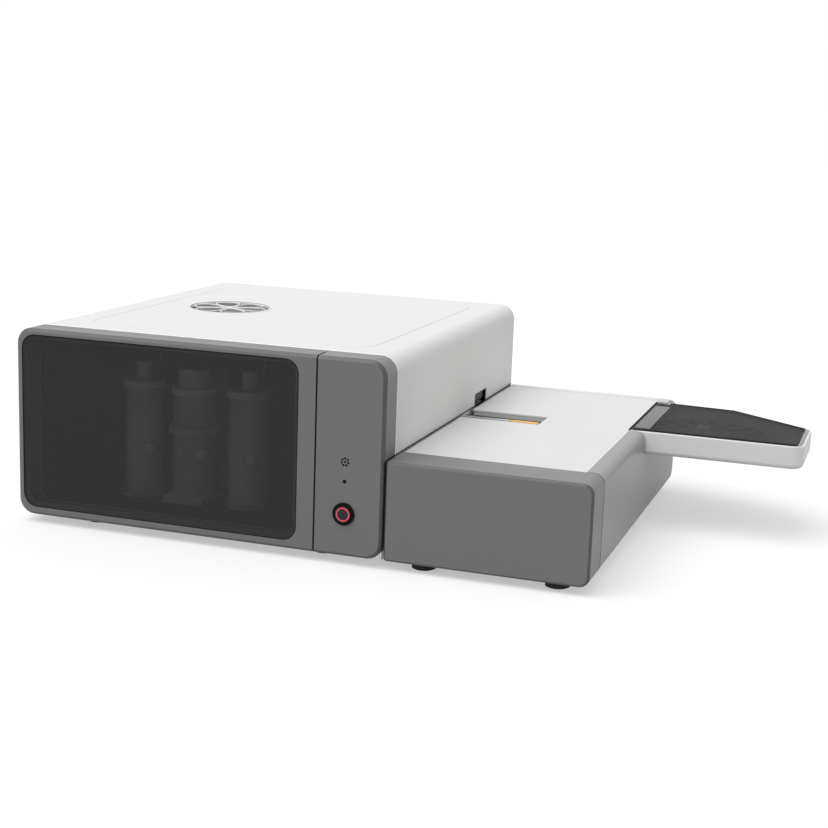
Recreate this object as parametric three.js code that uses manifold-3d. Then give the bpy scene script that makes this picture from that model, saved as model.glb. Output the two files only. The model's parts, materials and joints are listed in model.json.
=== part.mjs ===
import * as THREE from "three";
import { mergeVertices } from "three/addons/utils/BufferGeometryUtils.js";
import Module from "manifold-3d";

const wasm = await Module();
wasm.setup();

// Sizes are in millimetres. While building, x = 0 is the left side of the main unit, y = 0 its front face
// and z = 0 its underside above the feet. The last step moves the origin to the middle of the footprint.

// Shared fits and resolution
const GAP = 0.3;
const OVER = 1;
const CORNER_STEPS = 6;
const ROUND = 32;
const SMALL_ROUND = 16;
const HALF = 1 / 2;

// Main unit
const MAIN = { width: 465, height: 226, depth: 528, corner: 19, sheet: 2 };
const SAMPLER = {
  gap: 0.8,
  width: 234.7,
  y0: 2,
  height: 114.6,
  corner: 12,
  leftCorner: 4,
  depth: MAIN.depth,
  wall: 2.2,
};
const samplerLeft = MAIN.width + SAMPLER.gap;
const samplerRight = samplerLeft + SAMPLER.width;

// Anchors, and tables of places measured from them
const mainRight = { x: MAIN.width };
const samplerSide = { x: samplerLeft };
const samplerTop = { x: samplerLeft, z: SAMPLER.height };
const trayTop = { x: samplerRight, z: SAMPLER.height };

function placed(anchor, sizes) {
  const moved = Object.entries(sizes).map(([key, value]) => {
    const found = key.match(/^([xyz])[01]?$|([XYZ])[01]?$/);
    const axis = found && (found[1] ?? found[2]).toLowerCase();
    return [key, value + (anchor[axis] ?? 0)];
  });
  return Object.fromEntries(moved);
}

const BEZEL_SIZES = {
  depth: 36,
  wall: 3,
  chamfer: 3.7,
  chamferDepth: 4,
  splitX: -82,
  splitGap: 1.2,
};
const BEZEL = placed(mainRight, BEZEL_SIZES);
const DOOR = { depth: 22, rimGap: 0.8, rearChamfer: 4, pivotX: 7, pivotY: 10 };
const GLASS_RIGHT = { x1: -104 };
const GLASS = {
  x0: 8.8,
  ...placed(mainRight, GLASS_RIGHT),
  z0: 11,
  z1: 218.4,
  corner: 16,
  thick: 3,
  ledge: 5,
  ledgeDepth: 2.4,
};
const HINGE = { pin: 2, boss: 4.5, bossHigh: 16, pinDeep: 7, armThick: 3, armX0: 5, slot: 7 };
const RIM = { flange: 8, flangeThick: 2 };
const STRIP_SIZES = {
  x: -45.7,
  buttonZ: 49.6,
  holeR: 11.3,
  lampZ: 86.5,
  lampHole: 2.3,
  grilleZ: 109.2,
};
const STRIP = placed(mainRight, STRIP_SIZES);
const SPEAKER = { count: 7, ring: 4.1, holeR: 1, segments: 8 };
const COVER_REAR = 33;
const COVER = {
  lipX: 24,
  grooveSide: 47,
  grooveFront: 74,
  grooveBack: MAIN.depth - COVER_REAR,
  grooveR: 30,
  grooveWide: 1.4,
  grooveDeep: 0.8,
};
const PAN = {
  thick: 2,
  flange: 7,
  ventCount: 8,
  ventLong: 60,
  ventWide: 4,
  ventPitch: 12,
  ventX: 190,
  ventY: 430,
};
const REAR = {
  ventRows: 7,
  ventCols: 3,
  ventLong: 46,
  ventHigh: 4,
  pitchX: 58,
  pitchZ: 11,
  ventX: 60,
  ventZ: 110,
};
const INLET_SIZES = {
  x: -70,
  z: 42,
  wide: 28,
  high: 48,
  corner: 3,
  flangeWide: 36,
  flangeHigh: 62,
  flangeThick: 2.5,
  deep: 26,
};
const INLET = placed(mainRight, INLET_SIZES);
const INLET_WELL = { wide: 22, high: 18, deep: 15, dz: -10, pinWide: 2, pinHigh: 5, pinPitch: 7, corner: 3 };
const NIPPLE_SIZES = {
  plateX0: -165,
  plateX1: -105,
  plateZ0: 30,
  plateZ1: 56,
  plate: 2,
  r: 4,
  bore: 2,
  long: 16,
  pitch: 28,
};
const NIPPLE = placed(mainRight, NIPPLE_SIZES);

// Fan
const FAN = { x: 139.3, y: 290.2, grilleR: 55, holeR: 55.4, ring: 5, hubR: 9, spokes: 6, spokeWide: 4.5 };
const GRILLE = { thick: 2.6, proud: 0.5 };
const FAN_FRAME = { half: 60, corner: 8, bore: 54, deep: 25, floor: 2.4, motorR: 20, strutWide: 6 };
const ROTOR = { hubR: 18, tipR: 52, count: 7, blade: 1.6, chord: 22, pitchDeg: 38, high: 17 };

// Reaction compartment behind the door
const ROOM_RIGHT = { x1: -89 };
const ROOM = { x0: 6, ...placed(mainRight, ROOM_RIGHT), y0: 38, y1: 196, z0: 9.5, z1: 214, wall: 1.5 };
const CELLS_Y = 116;
const LEFT_TUBE = { x: 107.5, r: 24.5 };
const RIGHT_TUBE = { x: 250, r: 26.5 };
const TUBES = [
  { name: "left", ...LEFT_TUBE },
  { name: "right", ...RIGHT_TUBE },
];
const TUBE = { baseR: 29, baseHigh: 6, top: 147, wall: 2.2, bossR: 6, bossOut: 5, bossZ: 74 };
const CAP = { plugDeep: 8, flangeOut: 1.2, flangeTop: 156, neckR: 9.3, top: 177.5 };
const CELL = { x: 177, r: 28, z0: 19.6, top: 145, wall: 2.6 };
const CELL_CAP = { plugDeep: 8, flangeOut: 1.2, flangeTop: 153, neckR: 20, top: 175.5 };
const STAND = {
  halfX: 26,
  y0: 82,
  y1: 160,
  thick: 8,
  backThick: 5,
  backHalf: 24,
  backTop: 168,
  clampZ: 96,
  clampHigh: 9,
  clampWall: 4,
};
const CATCH = { z: 113, high: 30, wide: 8, long: 14 };

// Hot side of the main unit
const AXIS_SIZES = { y: 382, z: -13.6 };
const AXIS = placed(samplerTop, AXIS_SIZES);
const PORT_SIZES = { y0: -34.5, y1: 20.5, z0: -32, z1: 29 };
const PORT = placed(AXIS, PORT_SIZES);
const FURNACE_RIGHT = { x1: -25 };
const FURNACE = {
  x0: 118,
  ...placed(mainRight, FURNACE_RIGHT),
  halfY: 80,
  z0: 16,
  z1: 184,
  chamfer: 10,
  boreR: 17,
  foot: 14,
  footInset: 30,
};
const TUBE_HOT_RIGHT = { x1: -4, collarX0: -24.7, collarX1: -10 };
const TUBE_HOT = {
  x0: 92,
  ...placed(mainRight, TUBE_HOT_RIGHT),
  r: 15,
  bore: 12,
  collarR: 20,
};
const PUMP = {
  x0: 20,
  x1: 92,
  y0: 222,
  y1: 292,
  high: 48,
  corner: 6,
  headR: 26,
  headHigh: 22,
  portR: 4,
  portHigh: 8,
};
const SUPPLY_SIZES = {
  x0: -175,
  x1: -35,
  y0: 208,
  y1: 296,
  high: 52,
  slots: 9,
  slotPitch: 13,
  slotWide: 3,
  slotMargin: 14,
  inset: 3,
};
const SUPPLY = placed(mainRight, SUPPLY_SIZES);
const BOARD_SIZES = { x0: -75.5, x1: -7, z0: 14, z1: 200, y: 58, thick: 2 };
const BOARD = placed(mainRight, BOARD_SIZES);
const RELAY = { x: -61, z: 40, w: 20, h: 26, d: 12 };
const DRIVER = { x: -33, z: 82, w: 18, h: 18, d: 5 };
const PROCESSOR = { x: -63, z: 128, w: 30, h: 22, d: 8 };
const CAPACITOR = { x: -29, z: 165, w: 14, h: 24, d: 14 };
const CHIPS = [RELAY, DRIVER, PROCESSOR, CAPACITOR].map((chip) => placed(mainRight, chip));

// Power button
const BUTTON = {
  flangeR: 13,
  flange: 1.4,
  barrelR: 11,
  bore: 9.6,
  barrelDeep: 13,
  backThick: 2,
  stemR: 5,
  stemHole: 5.6,
};
const PLUNGER = { r: 9.2, proud: 2.2, cap: 5, stemEnd: 12.6, lampOuter: 8.1, lampInner: 6.5, lampDeep: 1.4 };
const LAMP = { r: 2, y0: 0.3, y1: 6, flangeR: 3.4, flangeY: 3.4 };

// Sampler unit
const SBEZEL = { depth: 53.5, chamfer: 2.7, chamferDepth: 2.8, face: 3 };
const SCOVER_SIZES = { ledge: 9, cutY0: 297.1, cutZ: -29.1, rearRound: 24, gapFront: 0.3 };
const SCOVER = placed(samplerTop, SCOVER_SIZES);
const PLATE_LEFT = { x0: 4.2 };
const PLATE_RIGHT = { x1: -20.6 };
const PLATE = {
  ...placed(samplerSide, PLATE_LEFT),
  ...placed(trayTop, PLATE_RIGHT),
  y0: 56,
  y1: 508,
  thick: 2.3,
  fold: 6,
};
const SLOT_SIZES = { x1: 103.7, y0: 273.8, y1: 324.9 };
const SLOT = placed(samplerSide, SLOT_SIZES);
const TROUGH_SIZES = { x0: 4.8, y0: 289.8, floor: 2, z0: -11.1, wall: 2 };
const TROUGH = placed(samplerTop, TROUGH_SIZES);
const SPAN_VENT_SIZES = { count: 6, long: 60, high: 4, pitch: 10, x: 108.2, z: 34 };
const SPAN_VENT = placed(samplerSide, SPAN_VENT_SIZES);

// Boat feed
const RAIL_SIZES = {
  x0: 2.7,
  x1: 139.7,
  y0: 275.5,
  y1: 280.5,
  z0: -13.6,
  z1: -7.6,
  postThick: 4,
  postY0: 266,
  postY1: 289,
  holeR: 4.2,
};
const RAIL = placed(samplerTop, RAIL_SIZES);
const SCREW_SIZES = { y: 280, z: -21.6, r: 3.5, x0: 3, x1: 141.1 };
const SCREW = placed(samplerTop, SCREW_SIZES);
const NUT_SIZES = {
  x0: 65.7,
  x1: 101.7,
  y0: 270,
  y1: 289,
  z0: -28.6,
  shelfZ: -5.6,
  z1: -2.7,
  topY0: 274.8,
  topY1: 283,
  screwHole: 4,
};
const NUT = placed(samplerTop, NUT_SIZES);
const ARM_SIZES = {
  x0: 77.2,
  x1: 93.2,
  y1: 389,
  z0: -28.6,
  z1: -22.6,
  blockY0: 375,
  blockZ1: -9.1,
  boreR: 3.2,
};
const ARM = placed(samplerTop, ARM_SIZES);
const ROD_SIZES = {
  r: 3,
  x0: -25.8,
  x1: 97.7,
  tongueX0: -63.8,
  tongueHalf: 6,
  tongueZ0: -17,
  tongueZ1: -14,
};
const ROD = placed(samplerTop, ROD_SIZES);
const FEED_MOTOR_SIZES = {
  x0: 141.7,
  x1: 187.7,
  half: 14,
  y: 280,
  z: -21.6,
  leg: 4,
  legY0: 262,
  legY1: 298,
};
const FEED_MOTOR = placed(samplerTop, FEED_MOTOR_SIZES);

// Sample tray
const DISC_SIZES = {
  x: 57,
  y: 388.5,
  r: 84,
  z0: -19.6,
  z1: -13.6,
  pockets: 16,
  pocketR0: 34,
  pocketR1: 79,
  pocketHalf: 4.5,
  pocketDeep: 4.2,
};
const DISC = placed(trayTop, DISC_SIZES);
const HUB_SIZES = {
  knobR: 9,
  knobZ: -4.6,
  shaftR: 4,
  pulleyR: 12,
  pulleyZ0: -23.7,
  pulleyZ1: -19.9,
  flange: 1.4,
  dome: 4,
};
const HUB = placed(trayTop, HUB_SIZES);
const TUB_SIZES = {
  z0: -28.8,
  z1: 0,
  wall: 3.6,
  rim: 2,
  ledgeZ: -3,
  floor: 2.5,
  shelfX1: -2,
  shelfZ0: -10.6,
  shelfZ1: -8.6,
  endX: 181.8,
};
const TUB = placed(trayTop, TUB_SIZES);
const TRAY_SIZES = {
  x0: -19.7,
  x1: 189.5,
  shoulderX: 84.5,
  heelX: -5.1,
  y0: 297.4,
  tipY: 409,
  shoulderY: 487.5,
  heelY: 495.5,
  stepY: 486.4,
};
const TRAY = placed(trayTop, TRAY_SIZES);
const TRAY_ROUND = { front: 16, tip: 9, shoulder: 16 };
const TUB_OUT = [
  { x: TRAY.x0, y: TRAY.y0, r: 0 },
  { x: TRAY.x1, y: TRAY.y0, r: TRAY_ROUND.front },
  { x: TRAY.x1, y: TRAY.tipY, r: TRAY_ROUND.tip },
  { x: TRAY.shoulderX, y: TRAY.shoulderY, r: TRAY_ROUND.shoulder },
  { x: TRAY.heelX, y: TRAY.heelY, r: 0 },
  { x: TRAY.heelX, y: TRAY.stepY, r: 0 },
  { x: TRAY.x0, y: TRAY.stepY, r: 0 },
];
const LID_SIZES = {
  z0: -2.7,
  z1: 0.5,
  x0: -18.8,
  pivotX: -15.6,
  barrelR: 3,
  barrelBore: 1.6,
  barrelY0: 470,
  barrelY1: 489.4,
  pinR: 1.25,
  notchX1: -12,
};
const LID = placed(trayTop, LID_SIZES);
const LUG_SIZES = {
  x0: -19.6,
  x1: -7,
  y0: 489.8,
  y1: 512.4,
  z0: -5.3,
  z1: 1.8,
  corner: 2,
  padZ: -11.6,
  padX0: -26,
  padX1: -2.4,
  padY1: 519,
};
const LUG = placed(trayTop, LUG_SIZES);
const BELT_SIZES = { z0: -23.1, z1: -20.5, thick: 1.2, x: 171.2, smallR: 8, run: 0.35 };
const BELT = placed(samplerTop, BELT_SIZES);
const TURN_MOTOR_SIZES = { half: 21, z0: -73.6, z1: -31.6, shaftR: 2.5, legHalf: 24, legThick: 3 };
const TURN_MOTOR = placed(samplerTop, TURN_MOTOR_SIZES);

// Middle of the footprint
const FOOTPRINT = {
  x: TRAY.x1 / 2,
  y: (MAIN.depth + INLET.flangeThick - BUTTON.flange - PLUNGER.proud) / 2,
};

// Feet
const FOOT = { r: 14, topR: 12, high: 10 };
const FOOT_INSET = { side: 84.5, end: 44, left: 40.2, right: 40.5, front: 30, back: 42 };
const mainFeetX = { left: FOOT_INSET.side, right: MAIN.width - FOOT_INSET.side };
const mainFeetY = { front: FOOT_INSET.end, back: MAIN.depth - FOOT_INSET.end };
const samplerFeetX = { left: samplerLeft + FOOT_INSET.left, right: samplerRight - FOOT_INSET.right };
const samplerFeetY = { front: FOOT_INSET.front, back: SAMPLER.depth - FOOT_INSET.back };
const samplerFeetTop = { front: -GAP, back: SAMPLER.wall };
const FOOT_SPOTS = ["front", "back"].flatMap((end) =>
  ["left", "right"].flatMap((side) => [
    { name: `main_foot_${end}_${side}`, x: mainFeetX[side], y: mainFeetY[end], top: -GAP },
    {
      name: `sampler_foot_${end}_${side}`,
      x: samplerFeetX[side],
      y: samplerFeetY[end],
      top: samplerFeetTop[end],
    },
  ]),
);

// Outlines
function point(x, y) {
  return new THREE.Vector2(x, y);
}

function roundedOutline(corners) {
  const points = [];
  corners.forEach((corner, i) => {
    const here = point(corner.x, corner.y);
    if (!corner.r) {
      points.push(here);
      return;
    }
    const before = corners[(i + corners.length - 1) % corners.length];
    const after = corners[(i + 1) % corners.length];
    const back = point(before.x, before.y).sub(here).normalize();
    const ahead = point(after.x, after.y).sub(here).normalize();
    const half = Math.acos(THREE.MathUtils.clamp(back.dot(ahead), -1, 1)) / 2;
    const middle = back.clone().add(ahead).normalize();
    const centre = here.clone().addScaledVector(middle, corner.r / Math.sin(half));
    const first = here.clone().addScaledVector(back, corner.r / Math.tan(half)).sub(centre);
    const last = here.clone().addScaledVector(ahead, corner.r / Math.tan(half)).sub(centre);
    const start = first.angle();
    const turn = THREE.MathUtils.euclideanModulo(last.angle() - start + Math.PI, 2 * Math.PI) - Math.PI;
    for (let s = 0; s <= CORNER_STEPS; s += 1) {
      const angle = start + (turn * s) / CORNER_STEPS;
      points.push(point(centre.x + corner.r * Math.cos(angle), centre.y + corner.r * Math.sin(angle)));
    }
  });
  return points;
}

function rectangle(x0, y0, x1, y1, r = 0) {
  const [a, b, c, d] = Array.isArray(r) ? r : [r, r, r, r];
  return roundedOutline([
    { x: x0, y: y0, r: a },
    { x: x1, y: y0, r: b },
    { x: x1, y: y1, r: c },
    { x: x0, y: y1, r: d },
  ]);
}

function circle(x, y, r, segments = ROUND) {
  const points = [];
  for (let i = 0; i < segments; i += 1) {
    const angle = (2 * Math.PI * (i + 1 / 2)) / segments;
    points.push(point(x + r * Math.cos(angle), y + r * Math.sin(angle)));
  }
  return points;
}

function insetCorners(corners, distance) {
  return corners.map((corner, i) => {
    const before = corners[(i + corners.length - 1) % corners.length];
    const after = corners[(i + 1) % corners.length];
    const inward = (from, to) => point(from.y - to.y, to.x - from.x).normalize();
    const a = inward(before, corner);
    const b = inward(corner, after);
    const reach = distance / (1 + a.dot(b));
    const [x, y] = [corner.x + (a.x + b.x) * reach, corner.y + (a.y + b.y) * reach];
    return { x, y, r: Math.max(corner.r - distance, 0) };
  });
}

// Solids
function solid(geometry) {
  const bare = geometry.clone();
  bare.deleteAttribute("normal");
  bare.deleteAttribute("uv");
  const joined = mergeVertices(bare);
  const place = joined.attributes.position;
  const kept = [];
  let volume = 0;
  for (let i = 0; i < joined.index.count; i += 3) {
    const [a, b, c] = [joined.index.getX(i), joined.index.getX(i + 1), joined.index.getX(i + 2)];
    if (a !== b && b !== c && c !== a) {
      kept.push(a, b, c);
      const [p, q, r] = [a, b, c].map((k) => new THREE.Vector3().fromBufferAttribute(place, k));
      volume += p.dot(q.cross(r));
    }
  }
  if (volume < 0) kept.reverse();
  const vertProperties = new Float32Array(place.array);
  const triVerts = new Uint32Array(kept);
  return new wasm.Manifold(new wasm.Mesh({ numProp: 3, vertProperties, triVerts }));
}

function extrusion(points, length, bevel = {}) {
  const outline = new THREE.Shape(points);
  return new THREE.ExtrudeGeometry(outline, { depth: length, bevelEnabled: false, ...bevel });
}

function prismZ(points, z0, z1) {
  return solid(extrusion(points, z1 - z0).translate(0, 0, z0));
}

function prismY(points, y0, y1) {
  return solid(extrusion(points, y1 - y0).rotateX(Math.PI / 2).translate(0, y1, 0));
}

function prismX(points, x0, x1) {
  const turned = new THREE.Matrix4().makeBasis(
    new THREE.Vector3(0, 1, 0),
    new THREE.Vector3(0, 0, 1),
    new THREE.Vector3(1, 0, 0),
  );
  return solid(extrusion(points, x1 - x0).applyMatrix4(turned).translate(x0, 0, 0));
}

function block(x0, y0, z0, x1, y1, z1) {
  return prismZ(rectangle(x0, y0, x1, y1), z0, z1);
}

function turned(x, y, profile, segments = ROUND) {
  const points = [...profile, profile[0]].map(([r, z]) => point(r, z));
  return solid(new THREE.LatheGeometry(points, segments).rotateX(Math.PI / 2).translate(x, y, 0));
}

function frontBlock(corners, y0, depth, chamfer, chamferDepth) {
  const bevel = {
    bevelEnabled: true,
    bevelThickness: chamferDepth,
    bevelSize: chamfer,
    bevelOffset: -chamfer,
    bevelSegments: 1,
  };
  const whole = extrusion(corners, depth, bevel)
    .rotateX(Math.PI / 2)
    .translate(0, y0 + depth + chamferDepth, 0);
  const keep = block(-MAIN.width, y0 - OVER, -MAIN.height, 2 * MAIN.width, y0 + depth, 2 * MAIN.height);
  return solid(whole).intersect(keep);
}

const group = new THREE.Group();
group.name = "sulfur_analyzer";

const PAINT = {
  white: { color: 0xefefed, roughness: 0.5, metalness: 0 },
  grey: { color: 0x767676, roughness: 0.55, metalness: 0 },
  cover: { color: 0x8c908f, roughness: 0.5, metalness: 0 },
  plate: { color: 0xe4e4e2, roughness: 0.5, metalness: 0 },
  tint: { color: 0x2c2c2c, roughness: 0.15, metalness: 0 },
  black: { color: 0x1c1c1d, roughness: 0.6, metalness: 0 },
  steel: { color: 0xb9bbbd, roughness: 0.35, metalness: 0.9 },
  alloy: { color: 0xa7aaad, roughness: 0.45, metalness: 0.8 },
  brass: { color: 0xd9a441, roughness: 0.35, metalness: 0.9 },
  red: { color: 0xe0323c, roughness: 0.35, metalness: 0 },
  vessel: { color: 0x9aa0a3, roughness: 0.3, metalness: 0 },
  cap: { color: 0xc9cbcb, roughness: 0.5, metalness: 0 },
  ceramic: { color: 0xe9e4d8, roughness: 0.7, metalness: 0 },
  sheet: { color: 0x9b9d9e, roughness: 0.5, metalness: 0.6 },
  board: { color: 0x2f6b48, roughness: 0.6, metalness: 0 },
  rubber: { color: 0x222222, roughness: 0.9, metalness: 0 },
};

function part(name, shape, paint) {
  const mesh = shape.getMesh();
  const geometry = new THREE.BufferGeometry();
  geometry.setAttribute("position", new THREE.BufferAttribute(new Float32Array(mesh.vertProperties), 3));
  geometry.setIndex(new THREE.BufferAttribute(new Uint32Array(mesh.triVerts), 1));
  geometry.translate(-FOOTPRINT.x, -FOOTPRINT.y, FOOT.high);
  geometry.computeVertexNormals();
  const item = new THREE.Mesh(geometry, new THREE.MeshStandardMaterial(PAINT[paint]));
  item.name = name;
  group.add(item);
}

// Main unit housing
const mainOutline = (inset) =>
  rectangle(inset, inset, MAIN.width - inset, MAIN.height - inset, MAIN.corner - inset);
const bezel = frontBlock(mainOutline(0), 0, BEZEL.depth, BEZEL.chamfer, BEZEL.chamferDepth);
const doorRight = BEZEL.splitX - BEZEL.splitGap / 2;
const stripLeft = BEZEL.splitX + BEZEL.splitGap / 2;
const doorFace = GAP + GLASS.thick + GAP + GLASS.ledgeDepth;
const glassOutline = (grow) =>
  rectangle(GLASS.x0 - grow, GLASS.z0 - grow, GLASS.x1 + grow, GLASS.z1 + grow, GLASS.corner + grow);

function mainCover() {
  let shape = prismY(mainOutline(0), BEZEL.depth + GAP, MAIN.depth);
  shape = shape.subtract(prismY(mainOutline(MAIN.sheet), 0, MAIN.depth + OVER));
  const back = MAIN.depth + OVER;
  shape = shape.subtract(
    block(COVER.lipX, 0, -OVER, MAIN.width - COVER.lipX, back, MAIN.sheet + OVER),
  );
  const top = MAIN.height + OVER;
  shape = shape.subtract(prismZ(circle(FAN.x, FAN.y, FAN.holeR), MAIN.height - MAIN.corner, top));
  shape = shape.subtract(
    block(MAIN.width - MAIN.corner, PORT.y0, PORT.z0, MAIN.width + OVER, PORT.y1, PORT.z1),
  );
  const seam = (inset) =>
    rectangle(
      COVER.grooveSide + inset,
      COVER.grooveFront + inset,
      MAIN.width - COVER.grooveSide - inset,
      COVER.grooveBack - inset,
      COVER.grooveR - inset,
    );
  const bottom = MAIN.height - COVER.grooveDeep;
  const island = prismZ(seam(COVER.grooveWide), bottom - OVER, top + OVER);
  return shape.subtract(prismZ(seam(0), bottom, top).subtract(island));
}

function basePan() {
  const x0 = COVER.lipX + GAP;
  const x1 = MAIN.width - COVER.lipX - GAP;
  const y0 = BEZEL.depth + OVER;
  const y1 = MAIN.depth - MAIN.sheet - 2 * GAP;
  let shape = block(x0, y0, 0, x1, y1, PAN.thick);
  shape = shape.add(block(x0, y0, 0, x1, y0 + PAN.thick, PAN.thick + PAN.flange));
  shape = shape.add(block(x0, y1 - PAN.thick, 0, x1, y1, PAN.thick + PAN.flange));
  for (let i = 0; i < PAN.ventCount; i += 1) {
    const y = PAN.ventY - i * PAN.ventPitch;
    shape = shape.subtract(
      block(PAN.ventX, y, -OVER, PAN.ventX + PAN.ventLong, y + PAN.ventWide, PAN.thick + OVER),
    );
  }
  return shape;
}

function rearPanel() {
  const y0 = MAIN.depth - MAIN.sheet - GAP;
  const y1 = MAIN.depth - GAP;
  let shape = prismY(mainOutline(MAIN.sheet + GAP), y0, y1);
  for (let row = 0; row < REAR.ventRows; row += 1) {
    for (let column = 0; column < REAR.ventCols; column += 1) {
      const x = REAR.ventX + column * REAR.pitchX;
      const z = REAR.ventZ + row * REAR.pitchZ;
      shape = shape.subtract(block(x, y0 - OVER, z, x + REAR.ventLong, y1 + OVER, z + REAR.ventHigh));
    }
  }
  const halfWide = INLET.wide / 2 + GAP;
  const halfHigh = INLET.high / 2 + GAP;
  const [left, right] = [INLET.x - halfWide, INLET.x + halfWide];
  shape = shape.subtract(
    block(left, y0 - OVER, INLET.z - halfHigh, right, y1 + OVER, INLET.z + halfHigh),
  );
  nippleSpots().forEach(({ x, z }) => {
    shape = shape.subtract(prismY(circle(x, z, NIPPLE.r + GAP, SMALL_ROUND), y0 - OVER, y1 + OVER));
  });
  return shape;
}

function nippleSpots() {
  const x = (NIPPLE.plateX0 + NIPPLE.plateX1) / 2;
  const z = (NIPPLE.plateZ0 + NIPPLE.plateZ1) / 2;
  return [-1, 1].map((side) => ({ x: x + (side * NIPPLE.pitch) / 2, z }));
}

function gasPorts() {
  const y1 = MAIN.depth - MAIN.sheet - 2 * GAP;
  const y0 = y1 - NIPPLE.plate;
  let shape = block(NIPPLE.plateX0, y0, NIPPLE.plateZ0, NIPPLE.plateX1, y1, NIPPLE.plateZ1);
  const start = y1 - NIPPLE.long;
  nippleSpots().forEach(({ x, z }) => {
    shape = shape.add(prismY(circle(x, z, NIPPLE.r, SMALL_ROUND), start, y1 + MAIN.sheet + OVER));
  });
  nippleSpots().forEach(({ x, z }) => {
    const bore = prismY(circle(x, z, NIPPLE.bore, SMALL_ROUND), start - OVER, MAIN.depth + OVER);
    shape = shape.subtract(bore);
  });
  return shape;
}

function powerInlet() {
  const face = MAIN.depth + INLET.flangeThick;
  const rear = MAIN.depth;
  const [w, h] = [INLET.wide / 2, INLET.high / 2];
  const body = rectangle(INLET.x - w, INLET.z - h, INLET.x + w, INLET.z + h, INLET.corner);
  let shape = prismY(body, face - INLET.deep, face);
  shape = shape.add(
    prismY(
      rectangle(
        INLET.x - INLET.flangeWide / 2,
        INLET.z - INLET.flangeHigh / 2,
        INLET.x + INLET.flangeWide / 2,
        INLET.z + INLET.flangeHigh / 2,
        INLET.corner,
      ),
      rear,
      face,
    ),
  );
  const z = INLET.z + INLET_WELL.dz;
  const [a, b] = [INLET_WELL.wide / 2, INLET_WELL.high / 2];
  const mouth = rectangle(INLET.x - a, z - b, INLET.x + a, z + b, INLET_WELL.corner);
  shape = shape.subtract(prismY(mouth, face - INLET_WELL.deep, face + OVER));
  [-1, 0, 1].forEach((side) => {
    const x = INLET.x + side * INLET_WELL.pinPitch;
    const [p, q] = [INLET_WELL.pinWide / 2, INLET_WELL.pinHigh / 2];
    shape = shape.add(block(x - p, face - INLET_WELL.deep - OVER, z - q, x + p, face - OVER, z + q));
  });
  return shape;
}

function frontRim() {
  const y0 = DOOR.depth + DOOR.rimGap;
  let shape = prismY(mainOutline(0), y0, BEZEL.depth);
  shape = shape.subtract(prismY(mainOutline(BEZEL.wall), 0, BEZEL.depth - RIM.flangeThick));
  shape = shape.subtract(prismY(mainOutline(BEZEL.wall + RIM.flange), 0, BEZEL.depth + OVER));
  return shape.subtract(block(doorRight, 0, -OVER, MAIN.width + OVER, MAIN.depth, MAIN.height + OVER));
}

function controlStrip() {
  let shape = bezel.subtract(block(-OVER, -OVER, -OVER, stripLeft, MAIN.depth, MAIN.height + OVER));
  const inner = rectangle(
    stripLeft + BEZEL.wall,
    BEZEL.wall,
    MAIN.width - BEZEL.wall,
    MAIN.height - BEZEL.wall,
    [0, MAIN.corner - BEZEL.wall, MAIN.corner - BEZEL.wall, 0],
  );
  shape = shape.subtract(prismY(inner, BEZEL.wall, MAIN.depth));
  shape = shape.subtract(prismY(circle(STRIP.x, STRIP.buttonZ, STRIP.holeR), -OVER, BEZEL.depth));
  const lampHole = circle(STRIP.x, STRIP.lampZ, STRIP.lampHole, SMALL_ROUND);
  shape = shape.subtract(prismY(lampHole, -OVER, BEZEL.depth));
  const holes = [{ x: STRIP.x, z: STRIP.grilleZ }];
  for (let i = 0; i < SPEAKER.count; i += 1) {
    const angle = Math.PI / 2 + (2 * Math.PI * i) / SPEAKER.count;
    const [x, z] = [SPEAKER.ring * Math.cos(angle), SPEAKER.ring * Math.sin(angle)];
    holes.push({ x: STRIP.x + x, z: STRIP.grilleZ + z });
  }
  holes.forEach(({ x, z }) => {
    shape = shape.subtract(prismY(circle(x, z, SPEAKER.holeR, SPEAKER.segments), -OVER, BEZEL.depth));
  });
  return shape;
}

part("main_cover", mainCover(), "white");
part("base_pan", basePan(), "sheet");
part("rear_panel", rearPanel(), "cover");
part("gas_ports", gasPorts(), "steel");
part("power_inlet", powerInlet(), "black");
part("front_rim", frontRim(), "grey");
part("control_strip", controlStrip(), "grey");

// Window door and its hinges
const hingeLevels = [
  { wallZ: MAIN.height - BEZEL.wall, away: -1 },
  { wallZ: BEZEL.wall, away: 1 },
];

function between(a, b) {
  return [Math.min(a, b), Math.max(a, b)];
}

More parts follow.
